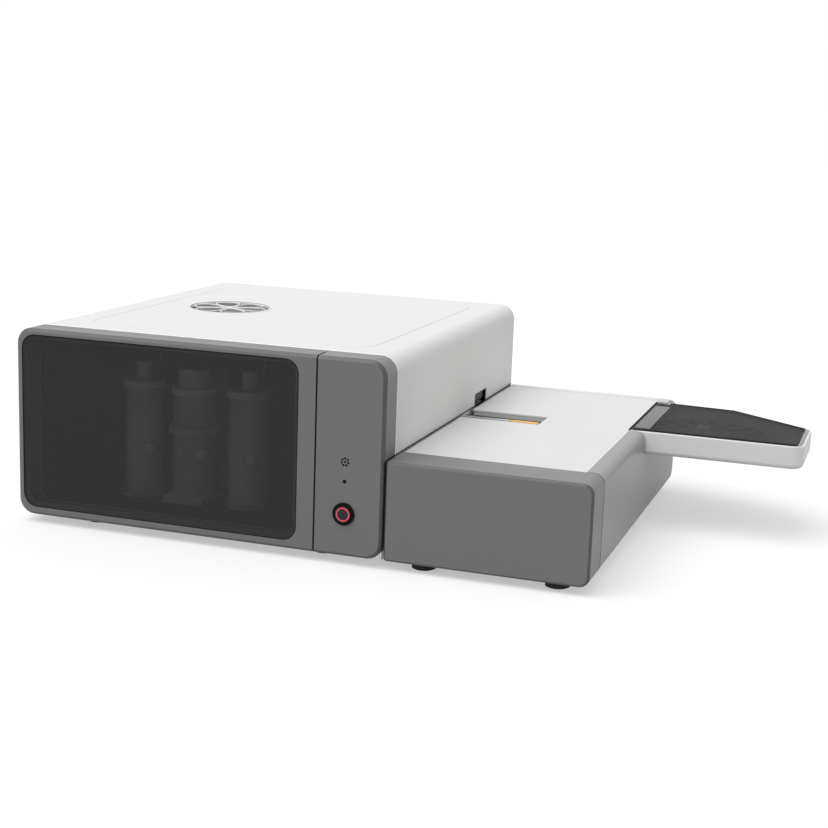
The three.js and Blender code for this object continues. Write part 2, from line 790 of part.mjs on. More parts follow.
function doorFrame() {
  let shape = bezel.intersect(block(-OVER, -OVER, -OVER, doorRight, DOOR.depth, MAIN.height + OVER));
  const inner = rectangle(
    BEZEL.wall,
    BEZEL.wall,
    doorRight - BEZEL.wall,
    MAIN.height - BEZEL.wall,
    [MAIN.corner - BEZEL.wall, 0, 0, MAIN.corner - BEZEL.wall],
  );
  shape = shape.subtract(prismY(inner, doorFace, DOOR.depth + OVER));
  shape = shape.subtract(prismY(glassOutline(GAP), -OVER, doorFace - GLASS.ledgeDepth));
  shape = shape.subtract(prismY(glassOutline(-GLASS.ledge), -OVER, DOOR.depth));
  const slope = [
    point(-OVER, DOOR.depth - DOOR.rearChamfer - OVER),
    point(DOOR.rearChamfer + OVER, DOOR.depth + OVER),
    point(-OVER, DOOR.depth + OVER),
  ];
  shape = shape.subtract(prismZ(slope, -OVER, MAIN.height + OVER));
  hingeLevels.forEach(({ wallZ, away }) => {
    const bossEnd = wallZ + away * HINGE.bossHigh;
    const [b0, b1] = between(wallZ - away * OVER, bossEnd);
    const boss = prismZ(circle(DOOR.pivotX, DOOR.pivotY, HINGE.boss, SMALL_ROUND), b0, b1);
    shape = shape.add(boss.intersect(bezel));
    const [h0, h1] = between(bossEnd - away * (HINGE.pinDeep + GAP), bossEnd + away * OVER);
    shape = shape.subtract(prismZ(circle(DOOR.pivotX, DOOR.pivotY, HINGE.pin + GAP, SMALL_ROUND), h0, h1));
    const [s0, s1] = between(bossEnd, bossEnd + away * HINGE.slot);
    shape = shape.subtract(block(-OVER, doorFace, s0, HINGE.armX0, DOOR.depth + OVER, s1));
  });
  const [c0, c1] = [CATCH.z - CATCH.high / 2, CATCH.z + CATCH.high / 2];
  const padBack = DOOR.depth - GAP;
  const padLeft = doorRight - BEZEL.wall - CATCH.wide;
  return shape.add(block(padLeft, doorFace - OVER, c0, doorRight - OVER, padBack, c1));
}

function hingeArm({ wallZ, away }) {
  const bossEnd = wallZ + away * HINGE.bossHigh;
  const near = bossEnd + away * OVER;
  const [z0, z1] = between(near, near + away * HINGE.armThick);
  const tip = HINGE.boss - OVER;
  const shape = prismZ(circle(DOOR.pivotX, DOOR.pivotY, tip, SMALL_ROUND), z0, z1).add(
    block(DOOR.pivotX - tip, DOOR.pivotY, z0, DOOR.pivotX + tip, BEZEL.depth - RIM.flangeThick - GAP, z1),
  );
  const [p0, p1] = between(near + away * OVER, bossEnd - away * HINGE.pinDeep);
  return shape.add(prismZ(circle(DOOR.pivotX, DOOR.pivotY, HINGE.pin, SMALL_ROUND), p0, p1));
}

part("door_frame", doorFrame(), "grey");
part("door_window", prismY(glassOutline(0), GAP, GAP + GLASS.thick), "tint");
part("door_hinge_upper", hingeArm(hingeLevels[0]), "steel");
part("door_hinge_lower", hingeArm(hingeLevels[1]), "steel");
part(
  "door_magnet",
  block(
    ROOM.x1 + GAP,
    DOOR.depth + DOOR.rimGap,
    CATCH.z - CATCH.high / 2,
    doorRight,
    ROOM.y0 + CATCH.long,
    CATCH.z + CATCH.high / 2,
  ),
  "black",
);

// Reaction compartment and its vessels
const roomFloor = ROOM.z0 + ROOM.wall;

function roomLiner() {
  const t = ROOM.wall;
  return block(ROOM.x0, ROOM.y0, ROOM.z0, ROOM.x1, ROOM.y1, ROOM.z1).subtract(
    block(ROOM.x0 + t, ROOM.y0 - OVER, roomFloor, ROOM.x1 - t, ROOM.y1 - t, ROOM.z1 - t),
  );
}

function frontBoss(x, r) {
  const face = CELLS_Y - r;
  return prismY(circle(x, TUBE.bossZ, TUBE.bossR, SMALL_ROUND), face - TUBE.bossOut, face + TUBE.wall);
}

function dryingTube({ x, r }) {
  const z0 = roomFloor + GAP;
  const inner = r - TUBE.wall;
  return turned(x, CELLS_Y, [
    [0, z0],
    [TUBE.baseR, z0],
    [TUBE.baseR, z0 + TUBE.baseHigh],
    [r, z0 + TUBE.baseHigh],
    [r, TUBE.top],
    [inner, TUBE.top],
    [inner, z0 + TUBE.baseHigh],
    [0, z0 + TUBE.baseHigh],
  ]).add(frontBoss(x, r));
}

function stopper(x, bore, rim, top, shape) {
  const plug = bore - GAP;
  const seat = top + GAP;
  const flange = rim + shape.flangeOut;
  return turned(x, CELLS_Y, [
    [0, top - shape.plugDeep],
    [plug, top - shape.plugDeep],
    [plug, seat],
    [flange, seat],
    [flange, shape.flangeTop],
    [shape.neckR, shape.flangeTop],
    [shape.neckR, shape.top],
    [0, shape.top],
  ]);
}

function tubeCap({ x, r }) {
  return stopper(x, r - TUBE.wall, r, TUBE.top, CAP);
}

function cellBody() {
  const inner = CELL.r - CELL.wall;
  return turned(CELL.x, CELLS_Y, [
    [0, CELL.z0],
    [CELL.r, CELL.z0],
    [CELL.r, CELL.top],
    [inner, CELL.top],
    [inner, CELL.z0 + CELL.wall],
    [0, CELL.z0 + CELL.wall],
  ]).add(frontBoss(CELL.x, CELL.r));
}

function cellCap() {
  return stopper(CELL.x, CELL.r - CELL.wall, CELL.r, CELL.top, CELL_CAP);
}

function cellStand() {
  const z0 = roomFloor + GAP;
  const { halfX, backHalf, y0, y1 } = STAND;
  let shape = block(CELL.x - halfX, y0, z0, CELL.x + halfX, y1, z0 + STAND.thick);
  const backY = y1 - STAND.backThick;
  shape = shape.add(block(CELL.x - backHalf, backY, z0, CELL.x + backHalf, y1, STAND.backTop));
  const ringIn = CELL.r + GAP;
  const [c0, c1] = [STAND.clampZ, STAND.clampZ + STAND.clampHigh];
  shape = shape.add(prismZ(circle(CELL.x, CELLS_Y, ringIn + STAND.clampWall), c0, c1));
  shape = shape.add(block(CELL.x - STAND.thick, CELLS_Y, c0, CELL.x + STAND.thick, STAND.y1 - OVER, c1));
  return shape.subtract(prismZ(circle(CELL.x, CELLS_Y, ringIn), c0 - OVER, c1 + OVER));
}

part("compartment_liner", roomLiner(), "black");
TUBES.forEach((tube) => {
  part(`drying_tube_${tube.name}`, dryingTube(tube), "vessel");
  part(`tube_cap_${tube.name}`, tubeCap(tube), "cap");
});
part("electrolysis_cell", cellBody(), "vessel");
part("cell_cap", cellCap(), "cap");
part("cell_stand", cellStand(), "alloy");

// Furnace, pump and electronics
function furnaceBody() {
  const c = FURNACE.chamfer;
  const [y0, y1] = [AXIS.y - FURNACE.halfY, AXIS.y + FURNACE.halfY];
  const outline = [
    [y0 + c, FURNACE.z0],
    [y1 - c, FURNACE.z0],
    [y1, FURNACE.z0 + c],
    [y1, FURNACE.z1 - c],
    [y1 - c, FURNACE.z1],
    [y0 + c, FURNACE.z1],
    [y0, FURNACE.z1 - c],
    [y0, FURNACE.z0 + c],
  ].map(([y, z]) => point(y, z));
  let shape = prismX(outline, FURNACE.x0, FURNACE.x1);
  const bore = circle(AXIS.y, AXIS.z, FURNACE.boreR);
  shape = shape.subtract(prismX(bore, FURNACE.x0 - OVER, FURNACE.x1 + OVER));
  [FURNACE.x0 + FURNACE.footInset, FURNACE.x1 - FURNACE.footInset].forEach((x) => {
    const half = FURNACE.foot / 2;
    shape = shape.add(block(x - half, y0 + c, PAN.thick + GAP, x + half, y1 - c, FURNACE.z0 + OVER));
  });
  return shape;
}

function ringX(r, bore, x0, x1) {
  return prismX(circle(AXIS.y, AXIS.z, r), x0, x1).subtract(
    prismX(circle(AXIS.y, AXIS.z, bore), x0 - OVER, x1 + OVER),
  );
}

function airPump() {
  const z0 = PAN.thick + GAP;
  const [x, y] = [(PUMP.x0 + PUMP.x1) / 2, (PUMP.y0 + PUMP.y1) / 2];
  const top = z0 + PUMP.high + PUMP.headHigh;
  const outline = rectangle(PUMP.x0 + PUMP.corner, PUMP.y0, PUMP.x1, PUMP.y1, PUMP.corner);
  return prismZ(outline, z0, z0 + PUMP.high)
    .add(prismZ(circle(x, y, PUMP.headR), z0 + PUMP.high - OVER, top))
    .add(prismZ(circle(x, y, PUMP.portR, SMALL_ROUND), top - OVER, top + PUMP.portHigh));
}

function powerSupply() {
  const z0 = PAN.thick + GAP;
  const z1 = z0 + SUPPLY.high;
  let shape = block(SUPPLY.x0, SUPPLY.y0, z0, SUPPLY.x1, SUPPLY.y1, z1);
  for (let i = 0; i < SUPPLY.slots; i += 1) {
    const x = SUPPLY.x0 + SUPPLY.slotMargin + i * SUPPLY.slotPitch;
    const [y0, y1] = [SUPPLY.y0 + SUPPLY.slotMargin, SUPPLY.y1 - SUPPLY.slotMargin];
    shape = shape.subtract(block(x, y0, z1 - SUPPLY.inset, x + SUPPLY.slotWide, y1, z1 + OVER));
  }
  return shape;
}

function controlBoard() {
  let shape = block(BOARD.x0, BOARD.y, PAN.thick + GAP, BOARD.x1, BOARD.y + BOARD.thick, BOARD.z1);
  shape = shape.subtract(block(MAIN.width - COVER.lipX - OVER, 0, 0, MAIN.width, MAIN.depth, BOARD.z0));
  CHIPS.forEach(({ x, z, w, h, d }) => {
    shape = shape.add(block(x, BOARD.y - d, z, x + w, BOARD.y + OVER, z + h));
  });
  return shape;
}

part("furnace_body", furnaceBody(), "sheet");
part("combustion_tube", ringX(TUBE_HOT.r, TUBE_HOT.bore, TUBE_HOT.x0, TUBE_HOT.x1), "ceramic");
part(
  "tube_collar",
  ringX(TUBE_HOT.collarR, TUBE_HOT.r + GAP, TUBE_HOT.collarX0, TUBE_HOT.collarX1),
  "steel",
);
part("air_pump", airPump(), "black");
part("power_supply", powerSupply(), "sheet");
part("control_board", controlBoard(), "board");

// Cooling fan
function fanGrille() {
  const z1 = MAIN.height + GRILLE.proud;
  const z0 = z1 - GRILLE.thick;
  let shape = prismZ(circle(FAN.x, FAN.y, FAN.grilleR), z0, z1);
  const pitch = (2 * Math.PI) / FAN.spokes;
  for (let i = 0; i < FAN.spokes; i += 1) {
    const arc = (r, from) => {
      const slack = Math.asin(FAN.spokeWide / 2 / r);
      const points = [];
      for (let s = 0; s <= CORNER_STEPS; s += 1) {
        const share = from ? 1 - s / CORNER_STEPS : s / CORNER_STEPS;
        const angle = i * pitch + slack + share * (pitch - 2 * slack);
        points.push(point(FAN.x + r * Math.cos(angle), FAN.y + r * Math.sin(angle)));
      }
      return points;
    };
    const opening = [...arc(FAN.grilleR - FAN.ring, false), ...arc(FAN.hubR, true)];
    shape = shape.subtract(prismZ(opening, z0 - OVER, z1 + OVER));
  }
  return shape;
}

const fanTop = MAIN.height - MAIN.sheet - GAP;
const fanBottom = fanTop - FAN_FRAME.deep;

function fanFrame() {
  const { half, corner, bore, floor, motorR, strutWide } = FAN_FRAME;
  const outline = rectangle(FAN.x - half, FAN.y - half, FAN.x + half, FAN.y + half, corner);
  let shape = prismZ(outline, fanBottom, fanTop);
  shape = shape.subtract(prismZ(circle(FAN.x, FAN.y, bore), fanBottom - OVER, fanTop + OVER));
  shape = shape.add(prismZ(circle(FAN.x, FAN.y, motorR), fanBottom, fanBottom + floor));
  const w = strutWide / 2;
  const reach = bore + OVER;
  shape = shape.add(block(FAN.x - reach, FAN.y - w, fanBottom, FAN.x + reach, FAN.y + w, fanBottom + floor));
  return shape.add(block(FAN.x - w, FAN.y - reach, fanBottom, FAN.x + w, FAN.y + reach, fanBottom + floor));
}

function fanRotor() {
  const z0 = fanBottom + FAN_FRAME.floor + GAP;
  let shape = prismZ(circle(FAN.x, FAN.y, ROTOR.hubR), z0, z0 + ROTOR.high);
  const span = ROTOR.tipR - ROTOR.hubR + 2 * OVER;
  for (let i = 0; i < ROTOR.count; i += 1) {
    const blade = new THREE.BoxGeometry(span, ROTOR.chord, ROTOR.blade)
      .rotateX(THREE.MathUtils.degToRad(ROTOR.pitchDeg))
      .translate(ROTOR.tipR - span / 2, 0, 0)
      .rotateZ((2 * Math.PI * i) / ROTOR.count)
      .translate(FAN.x, FAN.y, z0 + ROTOR.high / 2);
    shape = shape.add(solid(blade));
  }
  return shape;
}

part("fan_grille", fanGrille(), "white");
part("fan_frame", fanFrame(), "black");
part("fan_rotor", fanRotor(), "black");

// Control strip pieces
function roundY(r, y0, y1, z = STRIP.buttonZ, segments = ROUND) {
  return prismY(circle(STRIP.x, z, r, segments), y0, y1);
}

function buttonHousing() {
  const back = BUTTON.barrelDeep;
  return roundY(BUTTON.flangeR, -BUTTON.flange - GAP, -GAP)
    .add(roundY(BUTTON.barrelR, -BUTTON.flange, back))
    .subtract(roundY(BUTTON.bore, -BUTTON.flange - OVER, back - BUTTON.backThick))
    .subtract(roundY(BUTTON.stemHole, 0, back + OVER));
}

function buttonPlunger() {
  const face = -BUTTON.flange - PLUNGER.proud;
  return roundY(PLUNGER.r, face, face + PLUNGER.cap)
    .add(roundY(BUTTON.stemR, 0, PLUNGER.stemEnd))
    .subtract(
      roundY(PLUNGER.lampOuter + GAP, face - OVER, face + PLUNGER.lampDeep).subtract(
        roundY(PLUNGER.lampInner - GAP, face - 2 * OVER, face + PLUNGER.lampDeep + OVER),
      ),
    );
}

function buttonLamp() {
  const face = -BUTTON.flange - PLUNGER.proud;
  return roundY(PLUNGER.lampOuter, face, face + PLUNGER.lampDeep - GAP).subtract(
    roundY(PLUNGER.lampInner, face - OVER, face + PLUNGER.lampDeep),
  );
}

part("button_housing", buttonHousing(), "black");
part("power_button", buttonPlunger(), "black");
part("button_light_ring", buttonLamp(), "red");
part(
  "status_lamp",
  roundY(LAMP.r, LAMP.y0, LAMP.y1, STRIP.lampZ, SMALL_ROUND).add(
    roundY(LAMP.flangeR, LAMP.flangeY, LAMP.y1, STRIP.lampZ, SMALL_ROUND),
  ),
  "black",
);

// Sampler housing
const samplerOutline = (inset) =>
  rectangle(
    samplerLeft + inset,
    inset,
    samplerRight - inset,
    SAMPLER.height - inset,
    [SAMPLER.leftCorner, SAMPLER.corner, SAMPLER.corner, SAMPLER.leftCorner].map((r) =>
      Math.max(r - inset, 0),
    ),
  );
const samplerBack = SAMPLER.y0 + SBEZEL.depth;
const plateBottom = SAMPLER.height - PLATE.thick;
const deckZ = plateBottom - GAP;
const samplerFloor = SAMPLER.wall + GAP + PAN.thick;

function samplerBezel() {
  const { depth, chamfer, chamferDepth, face } = SBEZEL;
  const shape = frontBlock(samplerOutline(0), SAMPLER.y0, depth, chamfer, chamferDepth);
  const inner = samplerOutline(SAMPLER.wall);
  return shape.subtract(prismY(inner, SAMPLER.y0 + face, samplerBack + OVER));
}

function sideProfile(inset) {
  return rectangle(
    0,
    inset,
    SAMPLER.depth - inset,
    SAMPLER.height - inset,
    [0, SCOVER.rearRound - inset, PLATE.fold - inset, 0],
  );
}

const TROUGH_Y1 = SLOT.y1 + TROUGH.wall + GAP;

function samplerCover() {
  const y0 = samplerBack + SCOVER.gapFront;
  const y1 = SAMPLER.depth;
  const top = SAMPLER.height + OVER;
  let shape = prismY(samplerOutline(0), y0, y1);
  shape = shape.intersect(prismX(sideProfile(0), samplerLeft - OVER, samplerRight + OVER));
  shape = shape.subtract(prismY(samplerOutline(SAMPLER.wall), 0, y1 + OVER));
  const lip = SAMPLER.corner + SAMPLER.wall;
  shape = shape.subtract(
    block(samplerLeft + lip, 0, -OVER, samplerRight - lip, y1 + OVER, SAMPLER.wall + OVER),
  );
  const ledgeLow = deckZ - SAMPLER.wall;
  const [px0, px1, py1] = [PLATE.x0 - GAP, PLATE.x1 + GAP, PLATE.y1 + GAP];
  const ledge = SCOVER.ledge;
  shape = shape.add(
    block(samplerLeft + OVER, y0, ledgeLow, px1 + SAMPLER.wall, py1 + ledge, SAMPLER.height - OVER),
  );
  shape = shape.subtract(block(px0, 0, deckZ, px1, py1, top));
  shape = shape.subtract(block(px0 + ledge, y0 + ledge, 0, px1 - ledge, py1 - ledge, top));
  shape = shape.subtract(
    block(px1, SCOVER.cutY0, SCOVER.cutZ, samplerRight + OVER, TRAY.heelY + GAP, top),
  );
  shape = shape.add(
    block(LUG.padX0, TRAY.heelY + OVER, LUG.padZ, LUG.padX1, LUG.padY1, LUG.z0 - GAP),
  );
  shape = shape.subtract(
    block(LUG.x0 - GAP, SCOVER.cutY0, LUG.z0 - GAP, LUG.x1 + GAP, LUG.y1 + GAP, top),
  );
  const slotX1 = px0 + ledge + OVER;
  shape = shape.subtract(
    block(samplerLeft - OVER, NUT.y0 - OVER, RAIL.z0 - OVER, slotX1, TROUGH_Y1 + OVER, top),
  );
  return shape.subtract(
    block(samplerLeft - OVER, PORT.y0, PORT.z0, samplerLeft + lip, PORT.y1, ledgeLow - OVER),
  );
}

function samplerBase() {
  const outer = SAMPLER.wall + GAP;
  const y0 = samplerBack + SAMPLER.wall;
  let shape = prismX(sideProfile(outer), samplerLeft, samplerRight).subtract(
    prismX(sideProfile(outer + PAN.thick), samplerLeft - OVER, samplerRight + OVER),
  );
  const ceiling = deckZ - SAMPLER.wall - OVER;
  shape = shape.intersect(prismY(samplerOutline(outer), y0, SAMPLER.depth));
  shape = shape.intersect(block(samplerLeft, y0, -OVER, samplerRight, SAMPLER.depth, ceiling));
  for (let i = 0; i < SPAN_VENT.count; i += 1) {
    const z = SPAN_VENT.z + i * SPAN_VENT.pitch;
    const [x, y] = [SPAN_VENT.x, SAMPLER.depth - SCOVER.rearRound];
    shape = shape.subtract(block(x, y, z, x + SPAN_VENT.long, SAMPLER.depth, z + SPAN_VENT.high));
  }
  return shape;
}

function topPlate() {
  const outline = rectangle(PLATE.x0, PLATE.y0, PLATE.x1, PLATE.y1);
  return prismZ(outline, plateBottom, SAMPLER.height).subtract(
    block(PLATE.x0 - OVER, SLOT.y0, 0, SLOT.x1, SLOT.y1, SAMPLER.height + OVER),
  );
}

function slotTrough() {
  const x1 = SLOT.x1 + TROUGH.wall + GAP;
  const z0 = TROUGH.z0;
  return block(TROUGH.x0, TROUGH.y0, z0, x1, TROUGH_Y1, deckZ).subtract(
    block(
      TROUGH.x0 - OVER,
      TROUGH.y0 - OVER,
      z0 + TROUGH.floor,
      SLOT.x1 + GAP,
      SLOT.y1 + GAP,
      SAMPLER.height,
    ),
  );
}

part("sampler_bezel", samplerBezel(), "grey");
part("sampler_cover", samplerCover(), "cover");
part("sampler_base", samplerBase(), "sheet");
part("sampler_top_plate", topPlate(), "plate");
part("slot_trough", slotTrough(), "alloy");

// Boat feed
function guideRail() {
  let shape = block(RAIL.x0, RAIL.y0, RAIL.z0, RAIL.x1, RAIL.y1, RAIL.z1);
  [RAIL.x0, RAIL.x1 - RAIL.postThick].forEach((x) => {
    shape = shape.add(block(x, RAIL.postY0, samplerFloor + GAP, x + RAIL.postThick, RAIL.postY1, RAIL.z1));
  });
  const hole = circle(SCREW.y, SCREW.z, RAIL.holeR, SMALL_ROUND);
  return shape.subtract(prismX(hole, RAIL.x0 - OVER, RAIL.x1 + OVER));
}

function leadScrew() {
  return prismX(circle(SCREW.y, SCREW.z, SCREW.r, SMALL_ROUND), SCREW.x0, SCREW.x1);
}

function carriage() {
  let shape = block(NUT.x0, NUT.y0, NUT.z0, NUT.x1, NUT.y1, NUT.shelfZ);
  shape = shape.add(block(NUT.x0, NUT.topY0, NUT.shelfZ - OVER, NUT.x1, NUT.topY1, NUT.z1));
  shape = shape.subtract(
    block(NUT.x0 - OVER, RAIL.y0 - GAP, RAIL.z0 - GAP, NUT.x1 + OVER, RAIL.y1 + GAP, RAIL.z1 + GAP),
  );
  const hole = circle(SCREW.y, SCREW.z, NUT.screwHole, SMALL_ROUND);
  return shape.subtract(prismX(hole, NUT.x0 - OVER, NUT.x1 + OVER));
}

function pusherArm() {
  return block(ARM.x0, NUT.y1 + GAP, ARM.z0, ARM.x1, ARM.y1, ARM.z1)
    .add(block(ARM.x0, ARM.blockY0, ARM.z0, ARM.x1, ARM.y1, ARM.blockZ1))
    .subtract(prismX(circle(AXIS.y, AXIS.z, ARM.boreR, SMALL_ROUND), ARM.x0 - OVER, ARM.x1 + OVER));
}

function pushRod() {
  return prismX(circle(AXIS.y, AXIS.z, ROD.r, SMALL_ROUND), ROD.x0, ROD.x1).add(
    block(
      ROD.tongueX0,
      AXIS.y - ROD.tongueHalf,
      ROD.tongueZ0,
      ROD.x0 + ROD.tongueHalf,
      AXIS.y + ROD.tongueHalf,
      ROD.tongueZ1,
    ),
  );
}

function feedMotor() {
  const m = FEED_MOTOR;
  return block(m.x0, m.y - m.half, m.z - m.half, m.x1, m.y + m.half, m.z + m.half).add(
    block(m.x0, m.legY0, samplerFloor + GAP, m.x0 + m.leg, m.legY1, m.z + m.half),
  );
}

part("guide_rail", guideRail(), "steel");
part("lead_screw", leadScrew(), "steel");
part("boat_carriage", carriage(), "brass");
part("pusher_arm", pusherArm(), "alloy");
part("push_rod", pushRod(), "ceramic");
part("feed_motor", feedMotor(), "black");

// Sample tray, its lid and the carousel
const lidOutline = (inset) => roundedOutline(insetCorners(TUB_OUT, inset));

function trayTub() {
  const x0 = TRAY.x0 - OVER;
  const openX = TRAY.x0 + 2 * TUB.wall;
  let shape = prismZ(roundedOutline(TUB_OUT), TUB.z0, TUB.z1);
  const floor = TUB.z0 + TUB.floor;
  shape = shape.subtract(prismZ(lidOutline(TUB.wall), floor, TUB.ledgeZ + HALF * OVER));
  shape = shape.subtract(
    block(x0, TRAY.y0 + TUB.wall, floor, openX, TRAY.stepY - TUB.wall, TUB.ledgeZ + HALF * OVER),
  );
  const well = block(TRAY.x0 + OVER, 0, TUB.ledgeZ, TUB.endX, MAIN.depth, TUB.z1 + OVER);
  shape = shape.subtract(prismZ(lidOutline(TUB.rim), TUB.ledgeZ, TUB.z1 + OVER).intersect(well));
  const [rimY0, rimY1] = [TRAY.y0 + TUB.rim, TRAY.stepY - TUB.rim];
  shape = shape.subtract(block(x0, rimY0, TUB.ledgeZ, openX, rimY1, TUB.z1 + OVER));
  const heelZ = LID.z0 - (LID.pivotX - LID.x0) - 2 * GAP;
  shape = shape.subtract(block(x0, rimY0, heelZ, LID.pivotX + OVER, rimY1, TUB.z1 + OVER));
  shape = shape.add(
    block(TRAY.x0 + GAP, TRAY.y0 + OVER, TUB.shelfZ0, TUB.shelfX1, TRAY.stepY - OVER, TUB.shelfZ1),
  );
  const barrelZ = LID.z0 - LID.barrelR - GAP;
  const barrelY = LID.barrelY0 - OVER;
  shape = shape.subtract(block(x0, barrelY, barrelZ, LID.notchX1, MAIN.depth, TUB.z1 + OVER));
  return shape.subtract(prismZ(circle(DISC.x, DISC.y, HUB.shaftR + GAP, SMALL_ROUND), 0, TUB.z1));
}

function trayLid() {
  const pane = block(LID.x0, 0, LID.z0, TUB.endX - GAP, MAIN.depth, LID.z1);
  const barrel = (r, y0, y1) => prismY(circle(LID.pivotX, LID.z0, r, SMALL_ROUND), y0, y1);
  return prismZ(lidOutline(TUB.rim + GAP), LID.z0, LID.z1)
    .intersect(pane)
    .add(barrel(LID.barrelR, LID.barrelY0, LID.barrelY1))
    .subtract(barrel(LID.barrelBore, LID.barrelY0 - OVER, LID.barrelY1 + OVER));
}

function hingeLug() {
  return prismZ(rectangle(LUG.x0, LUG.y0, LUG.x1, LUG.y1, LUG.corner), LUG.z0, LUG.z1).add(
    prismY(circle(LID.pivotX, LID.z0, LID.pinR, SMALL_ROUND), LID.barrelY0 + OVER, LUG.y0 + OVER),
  );
}

function carouselDisc() {
  let shape = prismZ(circle(DISC.x, DISC.y, DISC.r, 2 * ROUND), DISC.z0, DISC.z1);
  for (let i = 0; i < DISC.pockets; i += 1) {
    const pocket = extrusion(
      rectangle(DISC.pocketR0, -DISC.pocketHalf, DISC.pocketR1, DISC.pocketHalf),
      DISC.pocketDeep + OVER,
    )
      .rotateZ((2 * Math.PI * i) / DISC.pockets)
      .translate(DISC.x, DISC.y, DISC.z1 - DISC.pocketDeep);
    shape = shape.subtract(solid(pocket));
  }
  return shape.add(spindle());
}

function spindle() {
  return prismZ(circle(DISC.x, DISC.y, HUB.shaftR, SMALL_ROUND), TUB.z0 + GAP, DISC.z1 + HUB.dome).add(
    prismZ(circle(DISC.x, DISC.y, HUB.pulleyR), HUB.pulleyZ0, HUB.pulleyZ1),
  );
}

function knob() {
  const bore = HUB.shaftR + GAP;
  return turned(DISC.x, DISC.y, [
    [bore, DISC.z1 + GAP],
    [HUB.knobR, DISC.z1 + GAP],
    [HUB.knobR, HUB.knobZ - HUB.flange],
    [HUB.knobR - HUB.flange, HUB.knobZ],
    [0, HUB.knobZ],
    [0, DISC.z1 + HUB.dome + GAP],
    [bore, DISC.z1 + HUB.dome + GAP],
  ]);
}

function beltLoop(grow) {
  const big = HUB.pulleyR + grow;
  const small = BELT.smallR + grow;
  const distance = DISC.x - BELT.x;
  const lean = Math.acos((big - small) / distance);
  const points = [];
  for (let s = 0; s <= SMALL_ROUND; s += 1) {
    const angle = -(Math.PI - lean) + (2 * (Math.PI - lean) * s) / SMALL_ROUND;
    points.push(point(DISC.x + big * Math.cos(angle), DISC.y + big * Math.sin(angle)));
  }
  for (let s = 0; s <= SMALL_ROUND; s += 1) {
    const angle = Math.PI - lean + (2 * lean * s) / SMALL_ROUND;
    points.push(point(BELT.x + small * Math.cos(angle), DISC.y + small * Math.sin(angle)));
  }
  return points;
}

function driveBelt() {
  return prismZ(beltLoop(BELT.run + BELT.thick), BELT.z0, BELT.z1).subtract(
    prismZ(beltLoop(BELT.run), BELT.z0 - OVER, BELT.z1 + OVER),
  );
}

function turnMotor() {
  const m = TURN_MOTOR;
  const z0 = samplerFloor + GAP;
  let shape = block(BELT.x - m.half, DISC.y - m.half, m.z0, BELT.x + m.half, DISC.y + m.half, m.z1);
  [-1, 1].forEach((side) => {
    const [y0, y1] = between(DISC.y + side * (m.half - OVER), DISC.y + side * (m.half + m.legThick));
    shape = shape.add(block(BELT.x - m.legHalf, y0, z0, BELT.x + m.legHalf, y1, m.z1));
  });
  return shape;
}

part("tray_tub", trayTub(), "plate");
part("tray_lid", trayLid(), "tint");
part("lid_hinge_lug", hingeLug(), "cap");
part("carousel_disc", carouselDisc(), "alloy");
part("carousel_knob", knob(), "cap");
part("drive_belt", driveBelt(), "rubber");
part("turn_motor", turnMotor(), "black");
part(
  "motor_pulley",
  prismZ(circle(BELT.x, DISC.y, BELT.smallR, SMALL_ROUND), HUB.pulleyZ0, HUB.pulleyZ1).add(
    prismZ(circle(BELT.x, DISC.y, TURN_MOTOR.shaftR, SMALL_ROUND), TURN_MOTOR.z1 + GAP, HUB.pulleyZ1),
  ),
  "steel",
);

// Feet
FOOT_SPOTS.forEach(({ name, x, y, top }) => {
  part(
    name,
    turned(x, y, [
      [0, -FOOT.high],
      [FOOT.topR, -FOOT.high],
      [FOOT.r, -FOOT.high + OVER],
      [FOOT.topR, top],
      [0, top],
    ], SMALL_ROUND),
    "rubber",
  );
});

export default group;
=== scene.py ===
import json
import math

import bmesh
import bpy
from mathutils import Matrix, Vector


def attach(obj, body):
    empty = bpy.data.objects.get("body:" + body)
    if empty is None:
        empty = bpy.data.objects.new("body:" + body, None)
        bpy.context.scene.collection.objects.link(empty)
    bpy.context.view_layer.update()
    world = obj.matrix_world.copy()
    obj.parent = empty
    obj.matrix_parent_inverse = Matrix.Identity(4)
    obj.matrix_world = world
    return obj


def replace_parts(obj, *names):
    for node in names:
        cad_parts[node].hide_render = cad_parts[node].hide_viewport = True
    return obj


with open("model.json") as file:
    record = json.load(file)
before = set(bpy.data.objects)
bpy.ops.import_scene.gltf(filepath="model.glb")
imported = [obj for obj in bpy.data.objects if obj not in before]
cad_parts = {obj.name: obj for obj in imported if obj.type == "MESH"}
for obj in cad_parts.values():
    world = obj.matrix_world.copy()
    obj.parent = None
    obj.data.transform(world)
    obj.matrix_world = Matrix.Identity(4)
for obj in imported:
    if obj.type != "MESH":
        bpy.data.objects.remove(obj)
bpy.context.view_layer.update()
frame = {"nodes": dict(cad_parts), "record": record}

# Places are first written in millimetres from the front left lower corner of the main unit
CORNER_X = 445.0
CORNER_Y = 263.45
CORNER_Z = -10.0
MM = 0.001

# Places that several pieces share, in those millimetres
SPLIT_X = 383.6
FAN_X, FAN_Y = 139.3, 290.2
CAROUSEL_X, CAROUSEL_Y = 757.5, 388.5
VESSEL_X = {"left": 107.5, "middle": 177, "right": 250}
VESSEL_Y = 116
DECK_FOLD_Y, DECK_FOLD_Z = 522, 108.6
INLET_X, INLET_Z = 395, 32

# Camera: place in metres, turns in radians, focal length in pixels
CAMERA_PLACE = (0.5704, -1.81855, 0.5212)
CAMERA_YAW = 0.321366
CAMERA_PITCH = -0.204407
CAMERA_ROLL = 0.03632
CAMERA_FOCAL = 1544.12
PICTURE_WIDE = 828
SENSOR_WIDE = 36.0

